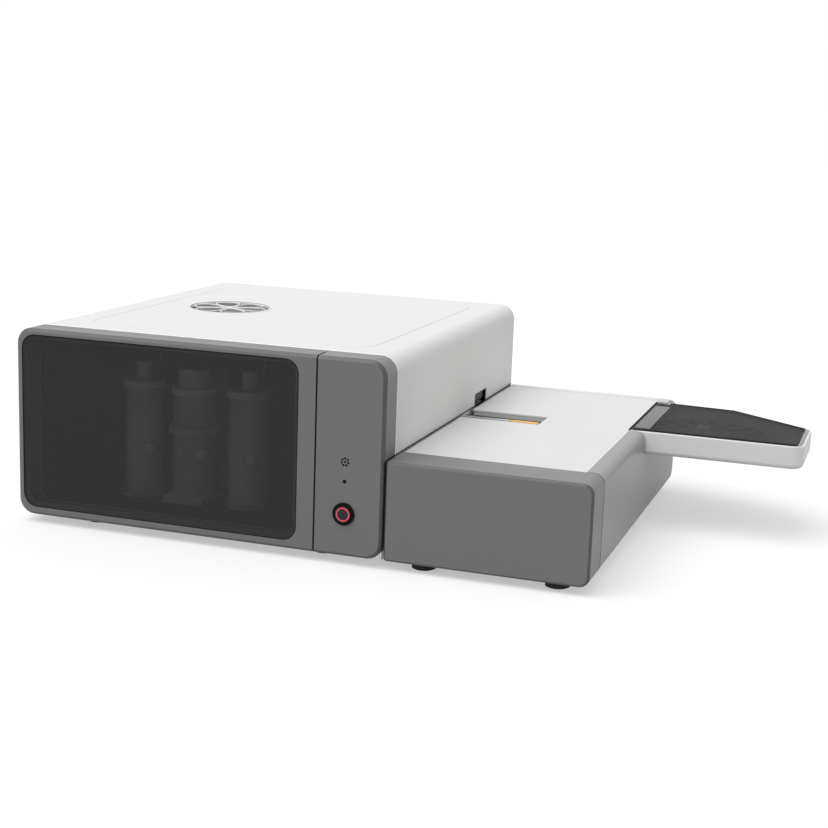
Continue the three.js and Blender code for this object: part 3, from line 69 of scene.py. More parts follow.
# Studio light
KEY_DIRECTION = (-0.3, -0.32, 0.9)
KEY_STRENGTH = 1.7
KEY_SPREAD = 0.9
ROOM_LIGHT = 0.63
FLOOR_HALF = 12.0
FLOOR_BOUNCE = 0.42
FLOOR_SEEN = 0.55
FLOOR_LIFT = 0.45

# Drying grains: how many on a square metre of wall, and their radius in millimetres
GRAIN_DENSITY = 62000.0
GRAIN_RADIUS = 1.5

# Random draws start from these
GRAIN_SEED = 7
SCREW_SEED = 3

# Radius of the rolled lip of a vent slot in millimetres, and how round the slot's ends are
VENT_LIP = 0.5
VENT_ROUND = 0.45

# Turns that set a piece on the side that it faces
FACING = {
    "up": (0.0, 0.0, 0.0),
    "down": (math.pi, 0.0, 0.0),
    "front": (math.pi / 2, 0.0, 0.0),
    "back": (-math.pi / 2, 0.0, 0.0),
}


def at(x, y, z):
    return Vector(((x - CORNER_X) * MM, (y - CORNER_Y) * MM, (z - CORNER_Z) * MM))


# Node trees
def add_node(tree, kind, settings=None, operands=None, **inputs):
    made = tree.nodes.new(kind)
    for label, value in (settings or {}).items():
        setattr(made, label, value)
    wanted = [(made.inputs[label.replace("_", " ")], value) for label, value in inputs.items()]
    wanted += [(made.inputs[i], value) for i, value in enumerate(operands or [])]
    for socket, value in wanted:
        if isinstance(value, bpy.types.NodeSocket):
            tree.links.new(value, socket)
        else:
            socket.default_value = value
    return made


def effect_group(name, inputs, outputs):
    tree = bpy.data.node_groups.new(name, "ShaderNodeTree")
    for label, value in inputs.items():
        socket = tree.interface.new_socket(label, in_out="INPUT", socket_type="NodeSocketFloat")
        socket.default_value = value
    for label in outputs:
        tree.interface.new_socket(label, in_out="OUTPUT", socket_type="NodeSocketFloat")
    return tree, tree.nodes.new("NodeGroupInput").outputs, tree.nodes.new("NodeGroupOutput").inputs


def shape_tree(name, inputs):
    tree = bpy.data.node_groups.new(name, "GeometryNodeTree")
    tree.interface.new_socket("Start", in_out="INPUT", socket_type="NodeSocketGeometry")
    for label, kind in inputs.items():
        tree.interface.new_socket(label, in_out="INPUT", socket_type=f"NodeSocket{kind}")
    tree.interface.new_socket("Shape", in_out="OUTPUT", socket_type="NodeSocketGeometry")
    return tree, tree.nodes.new("NodeGroupInput").outputs, tree.nodes.new("NodeGroupOutput").inputs


def close_tree(tree, given, result, shape):
    whole = add_node(tree, "GeometryNodeRealizeInstances", Geometry=shape)
    painted = add_node(
        tree, "GeometryNodeSetMaterial", Geometry=whole.outputs[0], Material=given["Finish"]
    )
    tree.links.new(painted.outputs[0], result["Shape"])
    return tree


# Shared surface effects
def fine_grain_effect():
    tree, given, result = effect_group("fine_grain", {"Scale": 900.0}, ["Height", "Mottle"])
    place = tree.nodes.new("ShaderNodeTexCoord").outputs["Object"]
    fine = add_node(tree, "ShaderNodeTexNoise", Vector=place, Scale=given["Scale"], Detail=3.0)
    broad = add_node(tree, "ShaderNodeTexNoise", Vector=place, Scale=11.0, Detail=4.0)
    tree.links.new(fine.outputs["Fac"], result["Height"])
    tree.links.new(broad.outputs["Fac"], result["Mottle"])
    return tree


def brushed_effect():
    tree, given, result = effect_group("brushed", {"Scale": 60.0}, ["Height", "Mottle"])
    place = tree.nodes.new("ShaderNodeTexCoord").outputs["Object"]
    stretch = add_node(tree, "ShaderNodeMapping", Vector=place, Scale=(1.0, 40.0, 40.0))
    lines = add_node(
        tree, "ShaderNodeTexNoise", Vector=stretch.outputs[0], Scale=given["Scale"], Detail=4.0
    )
    broad = add_node(tree, "ShaderNodeTexNoise", Vector=place, Scale=25.0)
    tree.links.new(lines.outputs["Fac"], result["Height"])
    tree.links.new(broad.outputs["Fac"], result["Mottle"])
    return tree


def wiped_effect():
    tree, given, result = effect_group("wiped", {"Scale": 7.0}, ["Height", "Mottle"])
    place = tree.nodes.new("ShaderNodeTexCoord").outputs["Object"]
    arcs = add_node(
        tree,
        "ShaderNodeTexWave",
        {"wave_type": "RINGS", "rings_direction": "Y"},
        Vector=place,
        Scale=given["Scale"],
        Distortion=9.0,
        Detail=3.0,
    )
    broad = add_node(tree, "ShaderNodeTexNoise", Vector=place, Scale=9.0, Detail=5.0)
    tree.links.new(arcs.outputs["Fac"], result["Height"])
    tree.links.new(broad.outputs["Fac"], result["Mottle"])
    return tree


def settled_dust_effect():
    tree, given, result = effect_group("settled_dust", {"Amount": 0.2}, ["Mask"])
    place = tree.nodes.new("ShaderNodeTexCoord").outputs["Object"]
    speckle = add_node(tree, "ShaderNodeTexNoise", Vector=place, Scale=38.0, Detail=6.0)
    facing = tree.nodes.new("ShaderNodeNewGeometry").outputs["Normal"]
    split = add_node(tree, "ShaderNodeSeparateXYZ", Vector=facing)
    product = {"operation": "MULTIPLY", "use_clamp": True}
    level = [split.outputs["Z"], speckle.outputs["Fac"]]
    upward = add_node(tree, "ShaderNodeMath", product, level)
    amount = add_node(tree, "ShaderNodeMath", product, [upward.outputs[0], given["Amount"]])
    tree.links.new(amount.outputs[0], result["Mask"])
    return tree


def edge_wear_effect():
    tree, given, result = effect_group("edge_wear", {"Reach": 0.0006, "Amount": 0.3}, ["Mask"])
    place = tree.nodes.new("ShaderNodeTexCoord").outputs["Object"]
    eased = add_node(tree, "ShaderNodeBevel", {"samples": 4}, Radius=given["Reach"])
    facing = tree.nodes.new("ShaderNodeNewGeometry").outputs["Normal"]
    match = add_node(
        tree, "ShaderNodeVectorMath", {"operation": "DOT_PRODUCT"}, [eased.outputs[0], facing]
    )
    edge = add_node(
        tree, "ShaderNodeMapRange", Value=match.outputs["Value"], From_Min=0.995, From_Max=0.9
    )
    broken = add_node(tree, "ShaderNodeTexNoise", Vector=place, Scale=90.0, Detail=4.0)
    product = {"operation": "MULTIPLY", "use_clamp": True}
    worn = add_node(tree, "ShaderNodeMath", product, [edge.outputs[0], broken.outputs["Fac"]])
    amount = add_node(tree, "ShaderNodeMath", product, [worn.outputs[0], given["Amount"]])
    tree.links.new(amount.outputs[0], result["Mask"])
    return tree


FINE_GRAIN = fine_grain_effect()
BRUSHED = brushed_effect()
WIPED = wiped_effect()
SETTLED_DUST = settled_dust_effect()
EDGE_WEAR = edge_wear_effect()
DUST_COLOUR = (0.42, 0.41, 0.39, 1.0)


def blended(tree, factor, first, second):
    mixed = add_node(tree, "ShaderNodeMix", {"data_type": "RGBA"}, Factor=factor)
    for label, value in (("A", first), ("B", second)):
        socket = next(s for s in mixed.inputs if s.name == label and s.type == "RGBA")
        if isinstance(value, bpy.types.NodeSocket):
            tree.links.new(value, socket)
        else:
            socket.default_value = value
    return next(s for s in mixed.outputs if s.type == "RGBA")


# How far a finish's roughness strays, how far wear reaches in from an edge, in metres, and how
# strongly the relief shows
ROUGH_SPREAD = 0.05
LEAST_ROUGH = 0.02
WEAR_REACH = 0.0007
RELIEF_STRENGTH = 0.35


def finish(name, colour, rough, metal=0.0, effect=FINE_GRAIN, scale=900.0, **more):
    given = {
        "relief": 0.00002,
        "contrast": 0.03,
        "dust": 0.04,
        "wear": 0.12,
        "worn": 1.35,
        "alpha": 1.0,
        "gloss": 0.5,
        "glow": 0.0,
    }
    given.update(more)
    material = bpy.data.materials.new(name)
    material.use_nodes = True
    tree = material.node_tree
    shader = tree.nodes["Principled BSDF"]
    grain = add_node(tree, "ShaderNodeGroup", {"node_tree": effect}, Scale=scale).outputs
    shades = [
        (*[min(max(c * share, 0), 1) for c in colour], 1)
        for share in (1 - given["contrast"], 1 + given["contrast"], given["worn"])
    ]
    tone = blended(tree, grain["Mottle"], shades[0], shades[1])
    if given["wear"]:
        group = {"node_tree": EDGE_WEAR}
        edge = add_node(
            tree, "ShaderNodeGroup", group, Reach=WEAR_REACH, Amount=given["wear"]
        )
        tone = blended(tree, edge.outputs["Mask"], tone, shades[2])
    if given["dust"]:
        film = add_node(tree, "ShaderNodeGroup", {"node_tree": SETTLED_DUST}, Amount=given["dust"])
        tone = blended(tree, film.outputs["Mask"], tone, DUST_COLOUR)
    tree.links.new(tone, shader.inputs["Base Color"])
    spread = add_node(
        tree,
        "ShaderNodeMapRange",
        Value=grain["Mottle"],
        To_Min=max(rough - ROUGH_SPREAD, LEAST_ROUGH),
        To_Max=min(rough + ROUGH_SPREAD, 1.0),
    )
    tree.links.new(spread.outputs[0], shader.inputs["Roughness"])
    if given["relief"]:
        bump = add_node(
            tree,
            "ShaderNodeBump",
            Strength=RELIEF_STRENGTH,
            Distance=given["relief"],
            Height=grain["Height"],
        )
        tree.links.new(bump.outputs[0], shader.inputs["Normal"])
    shader.inputs["Metallic"].default_value = metal
    shader.inputs["Alpha"].default_value = given["alpha"]
    shader.inputs["Specular IOR Level"].default_value = given["gloss"]
    if given["glow"]:
        tree.links.new(tone, shader.inputs["Emission Color"])
        shader.inputs["Emission Strength"].default_value = given["glow"]
    return material


BRUSH = {"effect": BRUSHED, "scale": 60.0, "contrast": 0.07, "wear": 0.0}
CLEAR = {"effect": WIPED, "scale": 7.0, "dust": 0.0, "relief": 0.0, "wear": 0.0}
BLACK = {"worn": 2.6, "contrast": 0.08}
MATT = {"wear": 0.0, "dust": 0.0, "relief": 0.0, "gloss": 0.0}
SHADED = {"wear": 0.0, "dust": 0.0, "relief": 0.0, "gloss": 0.1}

FINISHES = {
    "cover_white": finish("cover_white_paint", (0.76, 0.76, 0.755), 0.5, gloss=0.3, dust=0.03),
    "plate_white": finish("plate_white_paint", (0.71, 0.71, 0.705), 0.5, gloss=0.3, dust=0.03),
    "bezel_grey": finish("bezel_grey_plastic", (0.172, 0.172, 0.172), 0.42, relief=0.00003),
    "cover_grey": finish("cover_grey_paint", (0.29, 0.295, 0.295), 0.42),
    "window_tint": finish(
        "window_tint_sheet", (0.072, 0.072, 0.073), 0.3, alpha=0.5, gloss=0.06, **CLEAR
    ),
    "lid_tint": finish("lid_tint_sheet", (0.03, 0.03, 0.03), 0.3, alpha=0.55, gloss=0.01, **CLEAR),
    "tray_white": finish("tray_white_plastic", (0.8, 0.8, 0.795), 0.45, gloss=0.35),
    "vessel_glass": finish("vessel_glass", (0.74, 0.75, 0.75), 0.08, alpha=0.4, **CLEAR),
    "sheet_steel": finish("zinc_sheet", (0.5, 0.51, 0.52), 0.42, 0.9, **BRUSH),
    "bright_steel": finish("bright_steel", (0.55, 0.55, 0.56), 0.3, 1.0, **BRUSH),
    "alloy": finish("blasted_alloy", (0.42, 0.43, 0.44), 0.5, 0.8, relief=0.00004),
    "brass": finish("turned_brass", (0.88, 0.52, 0.14), 0.36, 0.6, **BRUSH),
    "ceramic": finish("bare_ceramic", (0.62, 0.6, 0.55), 0.75, contrast=0.06),
    "black_plastic": finish("black_plastic", (0.02, 0.02, 0.02), 0.5, gloss=0.3, **BLACK),
    "motor_black": finish("motor_black_paint", (0.03, 0.03, 0.031), 0.42, **BLACK),
    "furnace_case": finish("furnace_case_paint", (0.5, 0.5, 0.49), 0.6, contrast=0.08),
    "board_green": finish("board_green_mask", (0.03, 0.16, 0.08), 0.35, contrast=0.15),
    "lamp_red": finish("lit_ring", (0.74, 0.07, 0.11), 0.35, dust=0.0, wear=0.0, glow=0.2),
    "rubber": finish("foot_rubber", (0.025, 0.025, 0.025), 0.8, scale=500.0, **BLACK),
}
# Painted shade: a darker copy of the bezel grey for the front chamfers, standing in for the shade
# of a groove
CHAMFER_SHADE_GREY = finish("chamfer_painted_shade_grey", (0.085, 0.085, 0.085), 0.45)
# Painted shade: a grey copy of the tub's white for its recessed ledge, where shade falls
LEDGE_SHADE_GREY = finish("ledge_painted_shade_grey", (0.3, 0.3, 0.3), 0.6, gloss=0.3)
LINER_BLACK = finish("liner_black_paint", (0.024, 0.024, 0.024), 0.9, **MATT)
STAND_GREY = finish("stand_grey_coat", (0.5, 0.5, 0.5), 0.6, **SHADED)
TROUGH_GREY = finish("trough_grey_paint", (0.5, 0.5, 0.5), 0.5, gloss=0.3)
BURNT_CERAMIC = finish("burnt_ceramic", (0.2, 0.19, 0.18), 0.8, contrast=0.15)
FAN_GREY = finish("fan_grey_plastic", (0.6, 0.6, 0.6), 0.5, contrast=0.1)
SCORCHED_STEEL = finish("scorched_steel", (0.2, 0.19, 0.18), 0.5, 0.7, **BRUSH)
GRAIN_WHITE = finish(
    "drying_grain", (0.66, 0.68, 0.72), 0.8, contrast=0.25, scale=2200.0, relief=0.0001
)
# Black rubber for beads and seals, also used as painted shade in gaps, grooves and holes
SEAL_AND_SHADE_BLACK = finish("seal_rubber_and_painted_shade_black", (0.008, 0.008, 0.008), 0.8, **SHADED)
PORT_GREY = finish("port_grey_paint", (0.09, 0.09, 0.09), 0.6, gloss=0.3)
# Painted highlight: a brighter, glossier copy of the cover white for the lip along the cover's
# front edge
LIP_HIGHLIGHT_WHITE = finish("lip_painted_highlight_white", (0.95, 0.95, 0.945), 0.2, wear=0.0, gloss=0.8)
LUG_GREY = finish("lug_grey_plastic", (0.56, 0.56, 0.555), 0.5, gloss=0.3)
ELECTROLYTE = finish("electrolyte", (0.42, 0.3, 0.1), 0.1, alpha=0.55, **CLEAR)
PLATINUM = finish("platinum_sheet", (0.6, 0.59, 0.57), 0.3, 1.0, **BRUSH)

SLOT_OF = {row["node"]: row["material_slot"] for row in frame["record"]["subparts"]}
BODY_OF = {
    node: body
    for body, nodes in frame["record"]["behaviour"]["bodies"].items()
    for node in nodes
}
OWN_FINISH = {
    "compartment_liner": LINER_BLACK,
    "fan_frame": FAN_GREY,
    "fan_rotor": FAN_GREY,
    "tube_collar": SCORCHED_STEEL,
    "combustion_tube": BURNT_CERAMIC,
    "cell_stand": STAND_GREY,
    "lid_hinge_lug": LUG_GREY,
    "status_lamp": SEAL_AND_SHADE_BLACK,
    "button_housing": SEAL_AND_SHADE_BLACK,
    "slot_trough": TROUGH_GREY,
}


def finish_of(node):
    return OWN_FINISH.get(node, FINISHES[SLOT_OF[node]])


for node, item in frame["nodes"].items():
    item.data.materials.clear()
    item.data.materials.append(finish_of(node))


# Pieces
# Points closer than this, in metres, are one point
SAME_SPOT = 1e-6


def plain_copy(item):
    graph = bpy.context.evaluated_depsgraph_get()
    mesh = bpy.data.meshes.new_from_object(item.evaluated_get(graph))
    item.modifiers.clear()
    item.data = mesh
    return item


def new_piece(name, shell, materials):
    mesh = bpy.data.meshes.new(name)
    shell.to_mesh(mesh)
    shell.free()
    for material in materials:
        mesh.materials.append(material)
    piece = bpy.data.objects.new(name, mesh)
    bpy.context.scene.collection.objects.link(piece)
    return piece


def settle(piece, body, sharp=38.0):
    # Closes the piece's seams, turns its faces outward and gives it to its body
    shell = bmesh.new()
    shell.from_mesh(piece.data)
    bmesh.ops.remove_doubles(shell, verts=shell.verts, dist=SAME_SPOT)
    bmesh.ops.recalc_face_normals(shell, faces=shell.faces)
    shell.to_mesh(piece.data)
    shell.free()
    piece.data.shade_smooth()
    piece.data.set_sharp_from_angle(angle=math.radians(sharp))
    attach(piece, body)
    return piece


# Rounded corners: the angle from which an edge is a corner, the share of the room beside it that
# the rounding may take, and the share of its width below which a corner stays sharp
FLAT_ANGLE = math.radians(0.5)
CORNER_ANGLE = math.radians(30)
ROOM_SHARE = 0.4
LEAST_SHARE = 0.3
NEARLY_ALONG = 0.9


def room_beside(edge):
    # The least width of the faces on both sides of the edge, in metres
    along = (edge.verts[1].co - edge.verts[0].co).normalized()
    least = 1.0
    for loop in edge.link_loops:
        for beside in (loop.link_loop_prev.edge, loop.link_loop_next.edge):
            span = beside.verts[1].co - beside.verts[0].co
            turn = abs(span.normalized().dot(along))
            if turn < NEARLY_ALONG:
                least = min(least, span.length * math.sqrt(1 - turn * turn))
    return least


def edged(node, width, paint=None, prepare=None, flat=True):
    # A copy of the solid with its corners rounded, but less where there is little room beside them
    shell = bmesh.new()
    shell.from_mesh(frame["nodes"][node].data)
    bmesh.ops.remove_doubles(shell, verts=shell.verts, dist=SAME_SPOT)
    materials = [finish_of(node)]
    if flat:
        bmesh.ops.dissolve_limit(
            shell, angle_limit=FLAT_ANGLE, verts=shell.verts, edges=shell.edges
        )
    if prepare:
        prepare(shell)
    # The second finish is painted shade on the faces that the test picks
    if paint:
        second, test = paint
        materials.append(second)
        for face in shell.faces:
            face.material_index = int(test(face.normal, face.calc_center_median()))
    share = shell.edges.layers.float.new("bevel_weight_edge")
    for edge in shell.edges:
        if len(edge.link_faces) == 2 and edge.calc_face_angle() > CORNER_ANGLE:
            part = min(ROOM_SHARE * room_beside(edge) / (width * MM), 1.0)
            edge[share] = part if part > LEAST_SHARE else 0.0
    piece = new_piece(f"{node}_edged", shell, materials)
    rounded = piece.modifiers.new("rounded_edges", "BEVEL")
    rounded.width = width * MM
    rounded.segments = 2
    rounded.limit_method = "WEIGHT"
    rounded.use_clamp_overlap = False
    piece.data.shade_smooth()
    piece.data.set_sharp_from_angle(angle=math.radians(60))
    facing = piece.modifiers.new("flat_faces", "WEIGHTED_NORMAL")
    facing.keep_sharp = True
    facing.weight = 100
    plain_copy(piece)
    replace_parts(piece, node)
    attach(piece, BODY_OF[node])
    return piece


# Where the painted shade goes, on the front chamfers and the tub's recessed ledge, and where the
# tub's corners are rounded
CHAMFER_BACK = at(0, 6.2, 0).y
TUB_LOW = at(0, 0, 86).z
TUB_HIGH = at(0, 0, 114.5).z
TUB_AXIS = at(CAROUSEL_X, CAROUSEL_Y, 0)
TUB_REACH = 20 * MM
TUB_CORNER = 1.2
LEDGE_LOW = at(0, 0, 110.8).z
LEDGE_HIGH = at(0, 0, 112.6).z


# Front chamfer faces that get the painted shade
def on_chamfer(normal, middle):
    return middle.y < CHAMFER_BACK and -0.97 < normal.y < -0.25


# Top faces of the tub's recessed ledge that get the painted shade
def on_ledge(normal, middle):
    return normal.z > 0.9 and LEDGE_LOW < middle.z < LEDGE_HIGH


def outer_edges(shell, test):
    # Edges of the tub's outer wall, apart from its side against the sampler
    found = []
    for edge in shell.edges:
        sides = [f.normal for f in edge.link_faces if abs(f.normal.z) < 0.3]
        middle = (edge.verts[0].co + edge.verts[1].co) / 2 - TUB_AXIS
        outward = len(sides) == 1 and sides[0].x > -0.9 and sides[0].dot(middle) > TUB_REACH
        level = all(test(corner.co.z) for corner in edge.verts)
        if outward and level and edge.calc_face_angle() > TUB_CORNER:
            found.append(edge)
    return found


def round_tub(shell):
    lower = (lambda z: z < TUB_LOW, 6.0, 6)
    rim = (lambda z: z > TUB_HIGH, 1.5, 4)
    for test, reach, steps in (lower, rim):
        bmesh.ops.bevel(
            shell,
            geom=outer_edges(shell, test),
            offset=reach * MM,
            segments=steps,
            profile=0.5,
            affect="EDGES",
            clamp_overlap=False,
            loop_slide=False,
        )
    bmesh.ops.triangulate(shell, faces=shell.faces, ngon_method="BEAUTY")


chamfer_shade = (CHAMFER_SHADE_GREY, on_chamfer)
edged("main_cover", 0.4)
edged("front_rim", 0.5)
edged("control_strip", 0.4, paint=chamfer_shade)
edged("door_frame", 0.4, paint=chamfer_shade, flat=False)
edged("door_window", 0.25)
edged("rear_panel", 0.25)
edged("sampler_bezel", 0.45, paint=chamfer_shade)
edged("sampler_cover", 0.4, flat=False)
edged("sampler_top_plate", 0.35)
edged("slot_trough", 0.25)
edged("tray_tub", 0.35, paint=(LEDGE_SHADE_GREY, on_ledge), prepare=round_tub)
edged("tray_lid", 0.25, flat=False)
edged("lid_hinge_lug", 0.4)
edged("boat_carriage", 0.3)
edged("guide_rail", 0.25)


# Shape trees
def bent_bar_tree():
    tree, given, result = shape_tree(
        "bent_bar", {"Radius": "Float", "Bend": "Float", "Sides": "Int", "Finish": "Material"}
    )
    path = add_node(tree, "GeometryNodeMeshToCurve", Mesh=given["Start"])
    bent = add_node(
        tree,
        "GeometryNodeFilletCurve",
        {"mode": "POLY"},
        Curve=path.outputs[0],
        Radius=given["Bend"],
        Count=6,
        Limit_Radius=True,
    )
    section = add_node(
        tree, "GeometryNodeCurvePrimitiveCircle", Resolution=given["Sides"], Radius=given["Radius"]
    )
    bar = add_node(
        tree,
        "GeometryNodeCurveToMesh",
        Curve=bent.outputs[0],
        Profile_Curve=section.outputs[0],
        Fill_Caps=True,
    )
    return close_tree(tree, given, result, bar.outputs[0])


def screw_tree():
    tree, given, result = shape_tree(
        "screw_heads",
        {"Head": "Object", "Turn": "Vector", "Size": "Float", "Seed": "Int", "Finish": "Material"},
    )
    head = add_node(tree, "GeometryNodeObjectInfo", Object=given["Head"])
    spin = add_node(
        tree,
        "FunctionNodeRandomValue",
        {"data_type": "FLOAT_VECTOR"},
        Min=(0.0, 0.0, 0.0),
        Max=(0.0, 0.0, 2 * math.pi),
        Seed=given["Seed"],
    )
    set_in = add_node(
        tree,
        "GeometryNodeInstanceOnPoints",
        Points=given["Start"],
        Instance=head.outputs["Geometry"],
        Rotation=given["Turn"],
        Scale=given["Size"],
    )
    turned_in = add_node(
        tree, "GeometryNodeRotateInstances", Instances=set_in.outputs[0], Rotation=spin.outputs[0]
    )
    return close_tree(tree, given, result, turned_in.outputs[0])


def grain_tree():
    tree, given, result = shape_tree(
        "packed_grains",
        {"Density": "Float", "Radius": "Float", "Seed": "Int", "Finish": "Material"},
    )
    spots = add_node(
        tree,
        "GeometryNodeDistributePointsOnFaces",
        Mesh=given["Start"],
        Density=given["Density"],
        Seed=given["Seed"],
    )
    grain = add_node(
        tree, "GeometryNodeMeshIcoSphere", Radius=given["Radius"], Subdivisions=1
    )
    sizes = add_node(
        tree,
        "FunctionNodeRandomValue",
        {"data_type": "FLOAT_VECTOR"},
        Min=(0.7, 0.7, 0.7),
        Max=(1.3, 1.3, 1.3),
        Seed=given["Seed"],
    )
    grains = add_node(
        tree,
        "GeometryNodeInstanceOnPoints",
        Points=spots.outputs["Points"],
        Instance=grain.outputs["Mesh"],
        Scale=sizes.outputs[0],
    )
    whole = add_node(tree, "GeometryNodeJoinGeometry")
    tree.links.new(grains.outputs[0], whole.inputs[0])
    tree.links.new(given["Start"], whole.inputs[0])
    return close_tree(tree, given, result, whole.outputs[0])


def thread_tree():
    tree, given, result = shape_tree(
        "screw_thread",
        {
            "Turns": "Float",
            "Long": "Float",
            "Radius": "Float",
            "Ridge": "Float",
            "Place": "Vector",
            "Finish": "Material",
        },
    )
    coil = add_node(
        tree,
        "GeometryNodeCurveSpiral",
        Resolution=14,
        Rotations=given["Turns"],
        Start_Radius=given["Radius"],
        End_Radius=given["Radius"],
        Height=given["Long"],
    )
    section = add_node(
        tree, "GeometryNodeCurvePrimitiveCircle", Resolution=5, Radius=given["Ridge"]
    )
    ridge = add_node(
        tree,
        "GeometryNodeCurveToMesh",
        Curve=coil.outputs[0],
        Profile_Curve=section.outputs[0],
        Fill_Caps=True,
    )
    laid = add_node(
        tree,
        "GeometryNodeTransform",
        Geometry=ridge.outputs[0],
        Translation=given["Place"],
        Rotation=(0.0, math.pi / 2, 0.0),
    )
    return close_tree(tree, given, result, laid.outputs[0])


def round_copies_tree():
    tree, given, result = shape_tree(
        "round_copies", {"Count": "Int", "Place": "Vector", "Finish": "Material"}
    )
    spots = add_node(
        tree, "GeometryNodeMeshLine", Count=given["Count"], Offset=(0.0, 0.0, 0.0)
    )
    index = tree.nodes.new("GeometryNodeInputIndex").outputs[0]
    divide = {"operation": "DIVIDE"}
    share = add_node(tree, "ShaderNodeMath", divide, [index, given["Count"]])
    angle = add_node(
        tree, "ShaderNodeMath", {"operation": "MULTIPLY"}, [share.outputs[0], 2 * math.pi]
    )
    turn = add_node(tree, "ShaderNodeCombineXYZ", Z=angle.outputs[0])
    copies = add_node(
        tree,
        "GeometryNodeInstanceOnPoints",
        Points=spots.outputs[0],
        Instance=given["Start"],
        Rotation=turn.outputs[0],
    )
    moved = add_node(
        tree, "GeometryNodeTransform", Geometry=copies.outputs[0], Translation=given["Place"]
    )
    return close_tree(tree, given, result, moved.outputs[0])


def slot_lip_tree():
    tree, given, result = shape_tree(
        "slot_lips",
        {
            "Long": "Float",
            "High": "Float",
            "Lip": "Float",
            "Turn": "Vector",
            "Finish": "Material",
        },
    )
    outline = add_node(
        tree,
        "GeometryNodeCurvePrimitiveQuadrilateral",
        Width=given["Long"],
        Height=given["High"],
    )
    product = {"operation": "MULTIPLY"}
    half = add_node(tree, "ShaderNodeMath", product, [given["High"], VENT_ROUND])
    rounded = add_node(
        tree,
        "GeometryNodeFilletCurve",
        {"mode": "POLY"},
        Curve=outline.outputs[0],
        Radius=half.outputs[0],
        Count=4,
        Limit_Radius=True,
    )
    section = add_node(tree, "GeometryNodeCurvePrimitiveCircle", Resolution=6, Radius=given["Lip"])
    lip = add_node(
        tree,
        "GeometryNodeCurveToMesh",
        Curve=rounded.outputs[0],
        Profile_Curve=section.outputs[0],
    )
    lips = add_node(
        tree,
        "GeometryNodeInstanceOnPoints",
        Points=given["Start"],
        Instance=lip.outputs[0],
        Rotation=given["Turn"],
    )
    return close_tree(tree, given, result, lips.outputs[0])


BENT_BAR = bent_bar_tree()
SCREW_HEADS = screw_tree()
PACKED_GRAINS = grain_tree()
SCREW_THREAD = thread_tree()
ROUND_COPIES = round_copies_tree()
SLOT_LIPS = slot_lip_tree()


def grown(name, tree, shell, settings):
    piece = new_piece(name, shell, [])
    growth = piece.modifiers.new(tree.name, "NODES")
    growth.node_group = tree
    for item in tree.interface.items_tree:
        if item.in_out == "INPUT" and item.name in settings:
            growth[item.identifier] = settings[item.name]
    return plain_copy(piece)


# Shapes in code
def path_of(points, closed=False):
    shell = bmesh.new()
    verts = [shell.verts.new(p) for p in points]
    for first, second in zip(verts, verts[1:]):
        shell.edges.new((first, second))
    if closed:
        shell.edges.new((verts[-1], verts[0]))
    return shell


def spots_of(points):
    shell = bmesh.new()
    for p in points:
        shell.verts.new(p)
    return shell


def rounded_rectangle(x0, z0, x1, z1, r, steps=6):
    corners = [(x1 - r, z1 - r, 0), (x0 + r, z1 - r, 1), (x0 + r, z0 + r, 2), (x1 - r, z0 + r, 3)]
    points = []
    for x, z, quarter in corners:
        for step in range(steps + 1):
            angle = math.pi / 2 * (quarter + step / steps)
            points.append((x + r * math.cos(angle), z + r * math.sin(angle)))
    return points


def corner_arc(x, z, r, first, last, steps=8):
    angles = [math.radians(first + (last - first) * i / steps) for i in range(steps + 1)]
    return [(x + r * math.cos(a), z + r * math.sin(a)) for a in angles]


def skin_rings(shell, rings, steps):
    # A ring of one point is a pole, so the faces beside it keep three corners
    for low, high in zip(rings, rings[1:]):
        for i in range(steps):
            j = (i + 1) % steps
            around = ((low, i), (low, j), (high, j), (high, i))
            corners = [ring[k % len(ring)] for ring, k in around]
            kept = list(dict.fromkeys(corners))
            if len(kept) > 2:
                shell.faces.new(kept)


def turned_shell(profile, place, axis="Z", steps=40):
    shell = bmesh.new()
    rings = []
    for radius, along in profile:
        ring = []
        for i in range(steps if radius else 1):
            angle = 2 * math.pi * i / steps
            across, up = radius * math.cos(angle), radius * math.sin(angle)
            spot = {"Z": (across, up, along), "Y": (up, along, across), "X": (along, across, up)}
            ring.append(shell.verts.new(place + Vector(spot[axis]) * MM))
        rings.append(ring)
    skin_rings(shell, rings, steps)
    return shell


def turned(name, profile, place, body, material, axis="Z", steps=40):
    piece = new_piece(name, turned_shell(profile, place, axis, steps), [material])
    return settle(piece, body)


def swept_plate(name, outline, height, body, material, ease=0.25):
    low = [Vector(p) for p in outline]
    shell = bmesh.new()
    base = shell.faces.new([shell.verts.new(p) for p in low])
    grown_up = bmesh.ops.extrude_face_region(shell, geom=[base])
    moved = [v for v in grown_up["geom"] if isinstance(v, bmesh.types.BMVert)]
    bmesh.ops.translate(shell, verts=moved, vec=height)
    bmesh.ops.bevel(
        shell, geom=shell.edges[:], offset=ease * MM, segments=2, profile=0.5, affect="EDGES"
    )
    return settle(new_piece(name, shell, [material]), body)


def bar(name, low, high, body, slot, material, ease=0.3):
    a, b = at(*low), at(*high)
    outline = [(a.x, a.y, a.z), (b.x, a.y, a.z), (b.x, b.y, a.z), (a.x, b.y, a.z)]
    return swept_plate(name, outline, Vector((0, 0, b.z - a.z)), body, material, ease)


def bent_bar(name, points, radius, body, slot, material, bend=0.0, closed=False, sides=12):
    settings = {"Radius": radius * MM, "Bend": bend * MM, "Sides": sides, "Finish": material}
    piece = grown(name, BENT_BAR, path_of([at(*p) for p in points], closed), settings)
    return settle(piece, body, sharp=50.0)


def trim(name, low, high, slot, ease, material=None):
    bar(name, low, high, "chassis", slot, material or FINISHES[slot], ease)


